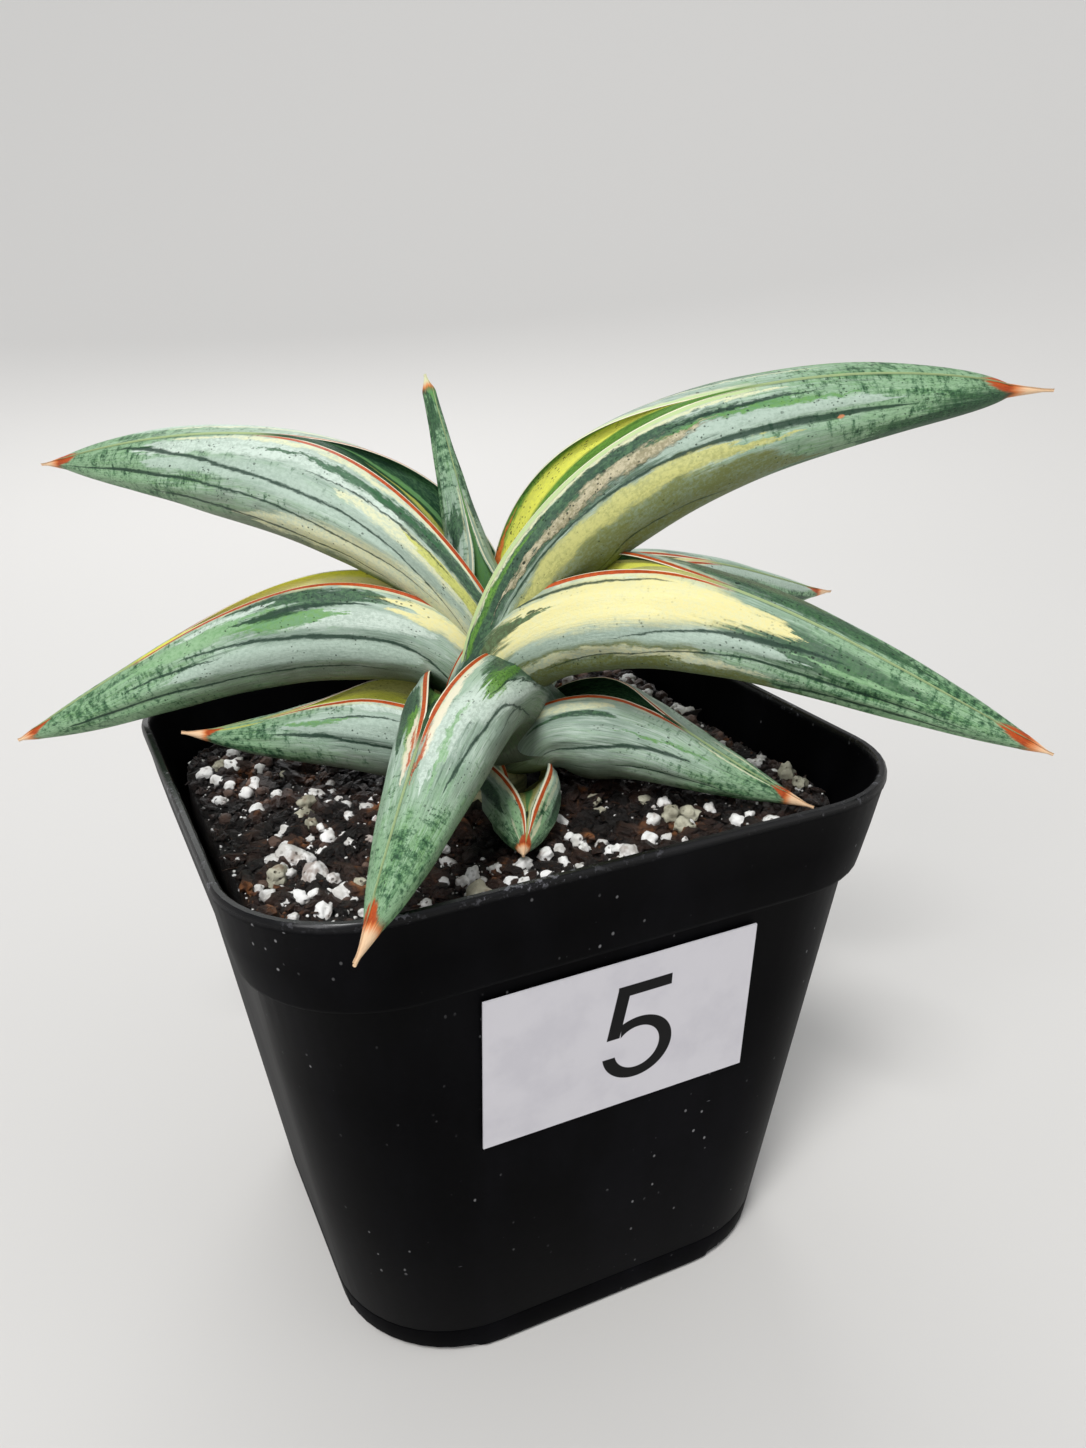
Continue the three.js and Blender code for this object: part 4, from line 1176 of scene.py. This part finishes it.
cutter_shape = bmesh.new()
for count, radius, distance, turn in DRAIN_HOLES:
    for index in range(count):
        angle = math.radians(turn + 360 / count * index)
        where = Vector((math.cos(angle), math.sin(angle), 0)) * distance * MM
        bmesh.ops.create_cone(
            cutter_shape, cap_ends=True, segments=HOLE_SIDES, radius1=radius * MM, radius2=radius * MM,
            depth=4 * FLOOR * MM, matrix=Matrix.Translation(where),
        )
for corner in range(4):
    turn = Matrix.Rotation(math.radians(45 + 90 * corner), 4, "Z")
    away = Matrix.Translation((FOOT[0] * math.sqrt(2) * MM - NOTCH_INSET * MM, 0, 0))
    size = Matrix.Diagonal((2 * NOTCH_INSET * MM, NOTCH_WIDTH * MM, 2 * NOTCH_HEIGHT * MM, 1))
    bmesh.ops.create_cube(cutter_shape, size=1, matrix=turn @ away @ size)
cutter = new_object("pot_cutter", mesh_of(cutter_shape, "pot_cutter"))
cut = pot.modifiers.new("drain_holes", "BOOLEAN")
cut.object = cutter
cut.operation = "DIFFERENCE"
cut.solver = "EXACT"
bpy.context.view_layer.update()
whole = pot.evaluated_get(bpy.context.evaluated_depsgraph_get())
cut_mesh = bpy.data.meshes.new_from_object(whole)
pot.modifiers.clear()
pot.data = cut_mesh
pot.data.set_sharp_from_angle(angle=math.radians(POT_CREASE))
bpy.data.objects.remove(cutter)
print("pot has", len(pot.data.polygons), "faces with its holes")

# %% [markdown]
# ## Black plastic
# The plastic is nearly black and a little glossy, with the faint waviness of a thin moulding. In
# use it has gathered white dust specks, a few short scratches, and pale scuffs along its lip.


# %% The finish of the pot
BLACK, SMEARED = paint("040405"), paint("0B0B0E")
DUSTY, SCRATCHED, SCUFFED = paint("9A9A9C"), paint("8A8A90"), paint("6A6A70")


def plastic_finish():
    """Black plastic with smears, dust, scratches and a worn lip."""
    finish = Finish("black_plastic")
    place = finish.object_place()
    height = finish.axis(place, 2)
    smears = finish.noise(finish.stretch(place, (1, 1, 0.3)), 60, 4, 0.6)
    colour = finish.mix(BLACK, SMEARED, finish.step(smears, 0.4, 0.7))

    # Dust settles in loose groups
    cells = finish.cells(finish.stretch(place, (1, 1, 0.7)), 520)
    groups = finish.step(finish.noise(place, 60, 5, 0.7), 0.5, 0.64)
    dust = finish.step(cells + finish.noise(place, 1500, 2) * 0.1, 0.18, 0.12) * groups
    colour = finish.mix(colour, DUSTY, dust * 0.6)

    # Short hair-thin scratches, cells pulled long and laid at a slant
    turned = finish.node(
        "ShaderNodeMapping", {}, {"Vector": place, "Rotation": (0.4, 0.5, 0.3), "Scale": (1, 1, 7)}
    )
    hairs = finish.step(finish.cells(turned, 90), 0.035, 0.02)
    scratched = hairs * finish.step(finish.noise(place, 30, 2), 0.55, 0.6)
    colour = finish.mix(colour, SCRATCHED, scratched * 0.6)

    # The lip is scuffed pale where it was handled
    lip = finish.step(height, (POT_HEIGHT - 1.3) * MM, (POT_HEIGHT - 0.3) * MM)
    scuffs = finish.step(finish.noise(place, 900, 4, 0.7), 0.54, 0.64)
    worn = finish.step(finish.noise(place, 70, 3, 0.6), 0.45, 0.6)
    colour = finish.mix(colour, SCUFFED, lip * scuffs * worn * 0.7)

    # The broad waves of a thin moulding, under a fine grain
    waves = finish.bump(finish.noise(place, 18, 2), 0.0006, strength=0.5)
    fine = finish.noise(place, 900, 2)
    rough = 0.4 + 0.16 * smears + 0.3 * dust.most(scratched)
    finish.set(Base_Color=colour, Roughness=rough, IOR=1.15, Specular_IOR_Level=0.2)
    finish.set(Coat_Weight=lip * 0.5, Coat_Roughness=0.25)
    finish.set(Normal=finish.bump(fine, 0.00002, waves, strength=0.5))
    return finish.material


pot.data.materials.clear()
pot.data.materials.append(plastic_finish())
print("the pot is finished")

# %% [markdown]
# ## The label
# A plain paper label lies on the front of the pot, with one plain numeral on it. The sheet is a
# grid laid on the slanted wall. The numeral is ink, not a body, so it is drawn in the material:
# a bar, a leaning stem and an open bowl, each a simple test on the height and the distance from
# the middle.

# %% A sheet of paper on the slanted wall
LABEL_LEFT, LABEL_RIGHT = -20.4, 21.2  # mm
LABEL_BOTTOM, LABEL_TOP = 43.5, 69.2
LABEL_OFF = 0.35  # mm, from the wall to the underside of the paper
LABEL_THICKNESS = 0.3
LABEL_WAVES = 0.05  # mm, how far the paper waves
LABEL_SQUARES = (42, 26)  # about a millimetre each

label_shape = bmesh.new()
bmesh.ops.create_grid(
    label_shape, x_segments=LABEL_SQUARES[0], y_segments=LABEL_SQUARES[1], size=0.5,
)
for vert in label_shape.verts:
    x = blend(LABEL_LEFT, LABEL_RIGHT, vert.co.x + 0.5)
    z = blend(LABEL_BOTTOM, LABEL_TOP, vert.co.y + 0.5)
    lift = LABEL_WAVES * noise.noise(Vector((x / 9, z / 9, 3)))
    vert.co = Vector((x, -body_at(z)[0] - LABEL_OFF - lift, z)) * MM
bmesh.ops.recalc_face_normals(label_shape, faces=label_shape.faces[:])
if sum(face.normal.y for face in label_shape.faces) > 0:
    bmesh.ops.reverse_faces(label_shape, faces=label_shape.faces[:])
bmesh.ops.solidify(label_shape, geom=label_shape.faces[:], thickness=-LABEL_THICKNESS * MM)
bmesh.ops.recalc_face_normals(label_shape, faces=label_shape.faces[:])
label = finished(label_shape, "paper_label", ["label"], smooth_below=30)
print("the label is", round(LABEL_RIGHT - LABEL_LEFT, 1), "by", round(LABEL_TOP - LABEL_BOTTOM, 1), "mm")

# %% Paper and a printed numeral
INK_EDGE = 0.08  # mm, how soft the print's edge is
# The parts of the numeral, in mm from the middle of the pot and from its foot
BAR_LEFT, BAR_RIGHT = -0.5, 7.8
BAR_FOOT, BAR_TOP = 63.1, 64.9
STEM_LEFT, STEM_RIGHT = -1.95, 0  # at its foot
STEM_FOOT = 56
STEM_LEAN = 0.172  # mm to the right for each mm up
BOWL_OUTSIDE = (3, 53.4), (5.5, 5.45)  # the centre and the radii of an ellipse
BOWL_INSIDE = (2.95, 53.45), (3.6, 3.75)
GAP_RIGHT, GAP_FOOT = 0.2, 52.65  # the bowl is open to the left of and above this point
GAP_EDGE = 0.05
PAPER, PALER_PAPER, FLECK, INK = (paint(code) for code in ("BEBCC2", "C6C4C9", "4A4A4C", "030304"))


def label_finish():
    """Mottled paper with a few dots, and the numeral in black ink."""
    finish = Finish("printed_paper")
    place = finish.object_place()
    x = finish.axis(place, 0) / MM
    z = finish.axis(place, 2) / MM

    def within(value, low, high):
        """1 between low and high, and 0 outside."""
        return finish.step(value, low - INK_EDGE, low) * finish.step(value, high + INK_EDGE, high)

    def round_from(centre, radii):
        """Distance from a centre, 1 on the ellipse with these radii."""
        a = (x - centre[0]) / radii[0]
        b = (z - centre[1]) / radii[1]
        return (a * a + b * b).maths("SQRT")

    bar = within(z, BAR_FOOT, BAR_TOP) * within(x, BAR_LEFT, BAR_RIGHT)
    leaning = x - (z - STEM_FOOT) * STEM_LEAN
    stem = within(z, STEM_FOOT, BAR_TOP) * within(leaning, STEM_LEFT, STEM_RIGHT)
    outer = finish.step(round_from(*BOWL_OUTSIDE), 1.015, 1)
    inner = finish.step(round_from(*BOWL_INSIDE), 0.98, 1)
    gap = finish.step(x, GAP_RIGHT + GAP_EDGE, GAP_RIGHT - GAP_EDGE)
    gap = gap * finish.step(z, GAP_FOOT - GAP_EDGE, GAP_FOOT + GAP_EDGE)
    bowl = outer * inner * (1 - gap)
    ink = bar.most(stem).most(bowl)

    mottling = finish.noise(place, 120, 4, 0.6)
    paper = finish.mix(PAPER, PALER_PAPER, finish.step(mottling, 0.3, 0.6))
    dots = finish.step(finish.cells(place, 110), 0.05, 0.035)
    rare = finish.step(finish.noise(place, 70, 2), 0.56, 0.6)
    paper = finish.mix(paper, FLECK, dots * rare * 0.9)
    colour = finish.mix(paper, INK, ink)
    fibres = finish.noise(place, 1400, 3)
    finish.set(Base_Color=colour, Roughness=0.62 - 0.1 * ink, Specular_IOR_Level=0.15)
    finish.set(Normal=finish.bump(fibres, 0.00001, strength=0.4))
    return finish.material


label.data.materials.append(label_finish())
print("the label is printed")

# %% [markdown]
# ## The potting mix
# The mix fills the pot to a few millimetres over the foot of the collar. Up close it is a heap of
# dark bark chips and peat crumbs, with white perlite, grey porous pumice and a few rounder brown
# lumps. A single bumpy surface looks like a carpet, so the bed is a lumpy sheet that fills the
# gaps, and thousands of separate small bodies lie on it. The larger ones lie in patches where the
# photograph shows them, and the rest are scattered with a fixed seed.

# %% The bed
SOIL_LEVEL = 77  # mm, of the loose bodies that lie on the bed
SOIL_RISE = 2.4  # how much higher the mix lies in the back right corner
SOIL_GAP = 0.3  # between the mix and the wall
BED_BELOW = 0.8  # how far the bed lies under that level
SWELL_HEIGHT = 0.9
LUMP_HEIGHT = 0.6
CRUMB_HEIGHT = 0.8
BED_SQUARES = 110  # to a side


def soil_height(x, y):
    """Height of the bed in mm: low swells, and lumps of two sizes."""
    swell = SWELL_HEIGHT * math.sin(x / 13 + 1) * math.cos(y / 11 - 0.5)
    lumps = math.sin(x * 1.1 + 2 * math.sin(y * 0.7)) * math.cos(y * 1.3 + math.sin(x * 0.9))
    crumbs = noise.noise(Vector((x / 2, y / 2, 0))) + 0.5 * noise.noise(Vector((x, y, 5)))
    rise = SOIL_RISE * ease((x + y + 5) / 60)
    return SOIL_LEVEL - BED_BELOW + rise + swell + LUMP_HEIGHT * lumps + CRUMB_HEIGHT * crumbs


def reach(outline, angle):
    """How far a rounded square reaches from its centre in some direction."""
    half, radius = outline
    c, s = abs(math.cos(angle)), abs(math.sin(angle))
    straight = half / max(c, s)
    core = half - radius
    if min(c, s) * straight <= core:
        return straight
    middle = core * (c + s)
    return middle + math.sqrt(max(0, middle * middle - 2 * core * core + radius * radius))


SOIL_EDGE = inset(body_at(COLLAR_FOOT - 2), WALL + SOIL_GAP)
SOIL_FOOT = 2.3  # mm, just over the pot's floor
# Down the side of the mix, from its edge to its foot
SOIL_PROFILE = [
    (SOIL_EDGE, SOIL_LEVEL), (SOIL_EDGE, 70), (inset(body_at(SOIL_FOOT), WALL + SOIL_GAP), SOIL_FOOT),
]
bed_shape = bmesh.new()
bmesh.ops.create_grid(bed_shape, x_segments=BED_SQUARES, y_segments=BED_SQUARES, size=1)
for vert in bed_shape.verts:
    angle = math.atan2(vert.co.y, vert.co.x)
    share = max(abs(vert.co.x), abs(vert.co.y))
    far = reach(SOIL_EDGE, angle) * share
    x, y = far * math.cos(angle), far * math.sin(angle)
    vert.co = Vector((x, y, soil_height(x, y))) * MM
edge_ring = [edge for edge in bed_shape.edges if edge.is_boundary]
foot_ring = pulled_up(bed_shape, edge_ring, SOIL_PROFILE)
bmesh.ops.holes_fill(bed_shape, edges=foot_ring, sides=0)
bmesh.ops.recalc_face_normals(bed_shape, faces=bed_shape.faces[:])
bed = finished(bed_shape, "potting_mix_bed", ["soil"], smooth_below=180)
print("the bed has", len(bed.data.polygons), "faces")


# %% Scatter lumps of one kind
BATCH = 40
TILT = 0.6  # radians, how far a body may lean either way
# Each kind: the least and greatest length, width and thickness over its radius, how far it is
# knocked out of round, and how deep it sinks into the bed, over its thickness
KINDS = {
    "bark": ((1.1, 1.8), (0.6, 1), (0.5, 0.8), 0.8, 0.25),
    "crumb": ((0.8, 1.6), (0.7, 1), (0.6, 0.9), 0.6, 0.2),
    "fibre": ((2.5, 5), (0.35, 0.5), (0.3, 0.4), 0.6, 0),
    "perlite": ((0.9, 1.3), (0.8, 1), (0.7, 0.95), 0.42, 0.2),
    "pumice": ((1, 1.3), (0.85, 1), (0.8, 1), 0.5, 0.15),
    "pellet": ((0.9, 1.2), (0.85, 1), (0.8, 1), 0.35, 0.15),
}


def in_pot(x, y, margin):
    """Whether a place lies more than a margin inside the wall."""
    return math.hypot(x, y) + margin < reach(SOIL_EDGE, math.atan2(y, x))


def lump(batch, x, y, radius, kind, detail, draw):
    """Adds one small body: a ball knocked out of round, stretched, turned and laid on the bed."""
    *limits, knock, sink = KINDS[kind]
    long, wide, thick = [draw.uniform(least, greatest) for least, greatest in limits]
    turn = Matrix.Rotation(draw.uniform(0, 2 * math.pi), 3, "Z")
    for axis in "XY":
        turn = turn @ Matrix.Rotation(draw.uniform(-TILT, TILT), 3, axis)
    stretched = turn @ Matrix.Diagonal((long, wide, thick))
    height = soil_height(x, y) + radius * thick * (1 - 2 * sink)
    offset = Vector((draw.uniform(0, 99), draw.uniform(0, 99), draw.uniform(0, 99)))
    for vert in bmesh.ops.create_icosphere(batch, subdivisions=detail, radius=1)["verts"]:
        knocked = vert.co * (1 + knock * noise.noise(vert.co * 1.6 + offset))
        vert.co = (stretched @ knocked * radius + Vector((x, y, height))) * MM


def scattered(name, places, kind, detail, seed, smooth_below=50):
    """One piece made of many small bodies. They are made in batches, which is much quicker."""
    draw = random.Random(seed)
    heap = bmesh.new()
    for first in range(0, len(places), BATCH):
        batch = bmesh.new()
        for x, y, radius in places[first : first + BATCH]:
            lump(batch, x, y, radius, kind, detail, draw)
        part = mesh_of(batch, "batch")
        heap.from_mesh(part)
        bpy.data.meshes.remove(part)
    piece = finished(heap, name, [], smooth_below)
    print(name, "has", len(places), "bodies and", len(piece.data.polygons), "faces")
    return piece


# %% Places for the bodies
FAR_OUT = 47  # mm, half the side of the square in which places are drawn
CLEAR_OF_STEM = 8  # mm, from the stem's middle to the nearest small bodies
PATCH_CLEAR_OF_STEM = 9  # the same for the bodies in patches


def loose_places(count, least, greatest, seed):
    """Seeded places in the pot, more small bodies than large ones."""
    draw = random.Random(seed)
    found = []
    while len(found) < count:
        x, y = draw.uniform(-FAR_OUT, FAR_OUT), draw.uniform(-FAR_OUT, FAR_OUT)
        radius = blend(least, greatest, draw.random() ** 2)
        if in_pot(x, y, radius * 0.8) and math.hypot(x, y) > CLEAR_OF_STEM + radius:
            found.append((x, y, radius))
    return found


def gathered(patches, seed):
    """Seeded places in patches, each told by its centre, spread, number, and least and greatest size."""
    draw = random.Random(seed)
    found = []
    for middle_x, middle_y, spread, count, least, greatest in patches:
        for _ in range(count):
            x = draw.gauss(middle_x, spread)
            y = draw.gauss(middle_y, spread)
            radius = draw.uniform(least, greatest)
            if in_pot(x, y, radius) and math.hypot(x, y) > PATCH_CLEAR_OF_STEM + radius:
                found.append((x, y, radius))
    return found


# Each patch: x and y of its middle, spread, number of bodies, least and greatest radius, in mm
PERLITE_PATCHES = [
    (-35, -9, 0.1, 1, 2.4, 2.4), (-34, -18, 0.1, 1, 2, 2), (-36, -15, 6, 18, 0.5, 1.5),
    (-40, 22, 6, 16, 0.8, 1.4), (-26, -5, 6, 12, 0.5, 1.1), (-33, -28, 6, 12, 0.4, 1.1),
    (-18, -26, 4, 8, 0.6, 1), (-6, -33, 3, 10, 0.8, 1.3), (8, -31, 5, 22, 0.7, 1.4),
    (30, -33, 2, 3, 1, 1.4), (44, -17, 3, 12, 0.7, 1.2), (20, -34, 8, 10, 0.4, 1.1),
    (42, 12, 2, 12, 0.8, 1.2), (41, 24, 2, 8, 0.8, 1.2),
    (30, 25, 12, 26, 0.8, 1.6), (-10, 36, 12, 24, 0.8, 1.5),
]
PUMICE_PATCHES = [
    (-31, 6, 2, 2, 1.1, 1.5), (-15, -33, 2, 2, 1.2, 2), (21, -27, 3, 4, 1, 1.5),
    (41, -28, 2, 2, 1.2, 1.7), (10, -14, 2, 2, 0.8, 1.2), (45, 12, 4, 4, 0.9, 1.2),
    (0, 36, 14, 8, 1, 1.8),
]
PELLET_PATCHES = [(42, 4, 3, 22, 0.8, 1.3), (40, 22, 4, 20, 0.8, 1.4), (34, 32, 6, 18, 0.8, 1.3)]
print(len(PERLITE_PATCHES) + len(PUMICE_PATCHES) + len(PELLET_PATCHES), "patches")

# %% Lay the heaps
CRISP = 24  # degrees, above which an edge stays sharp, so chips look broken and not moulded
bark_places = loose_places(2400, 0.4, 1.5, seed=3)
bark = scattered("bark_chips", bark_places, "bark", detail=2, seed=4, smooth_below=CRISP)
crumb_places = loose_places(7000, 0.25, 0.8, seed=5)
crumbs = scattered("peat_crumbs", crumb_places, "crumb", detail=1, seed=6, smooth_below=CRISP)
fibre_places = loose_places(1200, 0.25, 0.55, seed=15)
fibres = scattered("bark_fibres", fibre_places, "fibre", detail=1, seed=16)
pellet_places = gathered(PELLET_PATCHES, seed=17) + loose_places(60, 0.7, 1.3, seed=18)
pellets = scattered("clay_pellets", pellet_places, "pellet", detail=2, seed=19)
perlite_places = gathered(PERLITE_PATCHES, seed=13) + loose_places(260, 0.3, 1.2, seed=7)
perlite = scattered("perlite_grains", perlite_places, "perlite", detail=3, seed=8)
dust_places = loose_places(2800, 0.1, 0.36, seed=9)
dust = scattered("perlite_dust", dust_places, "perlite", detail=1, seed=10)
pumice_places = gathered(PUMICE_PATCHES, seed=14) + loose_places(16, 0.9, 1.6, seed=11)
pumice = scattered("pumice_lumps", pumice_places, "pumice", detail=3, seed=12)


# %% The finishes of the mix
DIRT, PORE = paint("6B4A33"), paint("4B3A2C")


def mineral_finish(name, dark, light, pore_scale, pore_depth, rough=0.85):
    """A pale, porous grain: two tones, patches of dirt, and pinhole pores that are darker."""
    finish = Finish(name)
    place = finish.object_place()
    tones = finish.noise(place, 300, 4, 0.6)
    colour = finish.mix(paint(dark), paint(light), finish.step(tones, 0.35, 0.6))
    pores = finish.step(finish.cells(place, pore_scale), 0.3, 0.12)
    holes = pores * finish.step(finish.noise(place, 500, 2), 0.45, 0.6)
    dirt = finish.step(finish.noise(place, 160, 4, 0.65), 0.56, 0.68)
    colour = finish.mix(colour, DIRT, dirt * 0.65)
    colour = finish.mix(colour, PORE, holes * 0.8)
    dents = finish.bump(1 - holes, pore_depth, strength=1.0)
    finish.set(Base_Color=colour, Roughness=rough, Specular_IOR_Level=0.3)
    finish.set(Normal=finish.bump(tones, 0.0003, dents, strength=0.6))
    return finish.material


def bark_finish(name, tones):
    """Dark organic matter whose tone changes from chip to chip, with fibres along it."""
    finish = Finish(name)
    place = finish.object_place()
    darkest, middle, lightest = (paint(tone) for tone in tones)
    from_chip = finish.noise(place, 130, 3, 0.6)
    fibres = finish.noise(finish.stretch(place, (1, 1, 3)), 900, 5, 0.7)
    colour = finish.mix(darkest, middle, finish.step(from_chip, 0.4, 0.62))
    colour = finish.mix(colour, lightest, finish.step(from_chip, 0.6, 0.7) * 0.9)
    colour = finish.mix(colour, lightest, finish.step(fibres, 0.58, 0.75) * 0.45)
    finish.set(Base_Color=colour, Roughness=0.22 + 0.45 * fibres, Specular_IOR_Level=0.5)
    finish.set(Normal=finish.bump(fibres, 0.0008, strength=1.0))
    return finish.material


mix_finishes = {
    bed: bark_finish("peat_bed", ("0B0705", "1E130C", "2E1D12")),
    bark: bark_finish("bark", ("100A07", "38241A", "9A6238")),
    crumbs: bark_finish("peat", ("0E0806", "34211A", "8A5632")),
    fibres: bark_finish("fibre", ("2A1A10", "5A3B24", "8A6544")),
    pellets: bark_finish("pellet", ("4A3830", "6E574B", "8C7466")),
    perlite: mineral_finish("perlite", "C9C6C0", "F2F1EE", pore_scale=900, pore_depth=0.0003),
    dust: mineral_finish("perlite_specks", "D5D2CC", "F4F3F0", pore_scale=2000, pore_depth=0.0001),
    pumice: mineral_finish("pumice", "8E8A78", "BDBAA6", pore_scale=1100, pore_depth=0.0008, rough=0.9),
}
for piece, material in mix_finishes.items():
    piece.data.materials.append(material)
print(len(mix_finishes), "finishes in the mix")

# %% [markdown]
# ## The stem
# The short stem is hidden inside the sheaths, except for its crown between the innermost leaves.
# The CAD solid has the right shape already, so it keeps its mesh and only gets a finish: pale
# tissue with fibres and dry rings where older leaves have come off.


# %% The finish of the stem
TISSUE, PALE_TISSUE, DRY_TISSUE = paint("8C9268"), paint("C9C79C"), paint("5D4A2E")


def stem_finish():
    """Pale tissue with rings across the stem and fibres along it."""
    finish = Finish("stem_tissue")
    place = finish.object_place()
    rings = finish.noise(finish.stretch(place, (1, 1, 9)), 90, 4, 0.6)
    fibres = finish.noise(finish.stretch(place, (1, 1, 0.1)), 900, 4, 0.6)
    colour = finish.mix(TISSUE, PALE_TISSUE, finish.step(rings, 0.4, 0.62))
    colour = finish.mix(colour, DRY_TISSUE, finish.step(fibres, 0.55, 0.7) * 0.5)
    finish.set(Base_Color=colour, Roughness=0.55 + 0.3 * fibres)
    finish.set(Normal=finish.bump(rings, 0.0003, strength=0.6))
    return finish.material


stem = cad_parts["stem"]
stem.data.materials.clear()
stem.data.materials.append(stem_finish())
print("the stem is finished")

# %% [markdown]
# ## Floor and light
# A plain pale floor carries the pot. A broad sun from the upper left front is the main light, as
# in the photograph. Three weaker square lights keep the near corner, the right side and the far
# edges of the leaves from going dark.

# %% Floor
FLAT_RADIUS = 0.5  # metres, where the floor starts to curve up
SWEEP_RADIUS = 3.2
SWEEP_HEIGHT = 1.5
SWEEP_STEPS = 40
SWEEP_SIDES = 64
FLOOR_MERGE = 1e-5  # metres, between points that are one
FLOOR_COLOUR = paint("C8C6C3")

# A floor that curves up all round, like a shallow bowl, has no horizon
floor_shape = bmesh.new()
profile = [floor_shape.verts.new((0, 0, 0))]
for step in range(SWEEP_STEPS + 1):
    share = step / SWEEP_STEPS
    out = blend(FLAT_RADIUS, SWEEP_RADIUS, share)
    profile.append(floor_shape.verts.new((out, 0, SWEEP_HEIGHT * share**2)))
edges = [floor_shape.edges.new(pair) for pair in zip(profile, profile[1:])]
bmesh.ops.spin(
    floor_shape, geom=profile + edges, cent=(0, 0, 0), axis=(0, 0, 1), angle=2 * math.pi,
    steps=SWEEP_SIDES, use_merge=True,
)
bmesh.ops.remove_doubles(floor_shape, verts=floor_shape.verts[:], dist=FLOOR_MERGE)
bmesh.ops.recalc_face_normals(floor_shape, faces=floor_shape.faces[:])
if sum(face.normal.z for face in floor_shape.faces) < 0:
    bmesh.ops.reverse_faces(floor_shape, faces=floor_shape.faces[:])
floor = new_object("floor", mesh_of(floor_shape, "floor"))
floor.data.shade_smooth()
floor_finish = Finish("pale_floor")
floor_finish.set(Base_Color=FLOOR_COLOUR, Roughness=0.7)
floor.data.materials.append(floor_finish.material)
print("the floor is", SWEEP_RADIUS, "m in radius")


# %% Lights
SUN_FROM = (-0.4, -0.5, 1)
SUN_STRENGTH = 2.0
SUN_WIDTH = 14  # degrees, the wider the softer its shadows
ROOM_COLOUR = (0.8, 0.83, 0.87, 1)
ROOM_STRENGTH = 0.5
AIM = Vector((0, 0, 0.09))  # metres, the middle of the plant
# Each square light: its place in metres, its side in metres and its power in watts
SQUARE_LIGHTS = {
    "key_light": ((-0.6, -0.45, 0.6), 0.35, 2.5),
    "fill_light": ((0.7, -0.7, 0.5), 0.8, 1.5),
    "far_light": ((0.15, 0.75, 0.65), 0.6, 3),
}

sun_data = bpy.data.lights.new("soft_sun", "SUN")
sun_data.energy = SUN_STRENGTH
sun_data.angle = math.radians(SUN_WIDTH)
sun = new_object("soft_sun", sun_data)
sun.rotation_euler = Vector(SUN_FROM).to_track_quat("Z", "Y").to_euler()
for name, (place, side, power) in SQUARE_LIGHTS.items():
    data = bpy.data.lights.new(name, "AREA")
    data.size = side
    data.energy = power
    light = new_object(name, data)
    light.location = place
    light.rotation_euler = (AIM - Vector(place)).to_track_quat("-Z", "Y").to_euler()
world = bpy.data.worlds.new("soft_room")
world.use_nodes = True
background = world.node_tree.nodes["Background"].inputs
background["Color"].default_value = ROOM_COLOUR
background["Strength"].default_value = ROOM_STRENGTH
bpy.context.scene.world = world
bpy.context.scene.view_settings.view_transform = "Standard"
print(1 + len(SQUARE_LIGHTS), "lights are set")
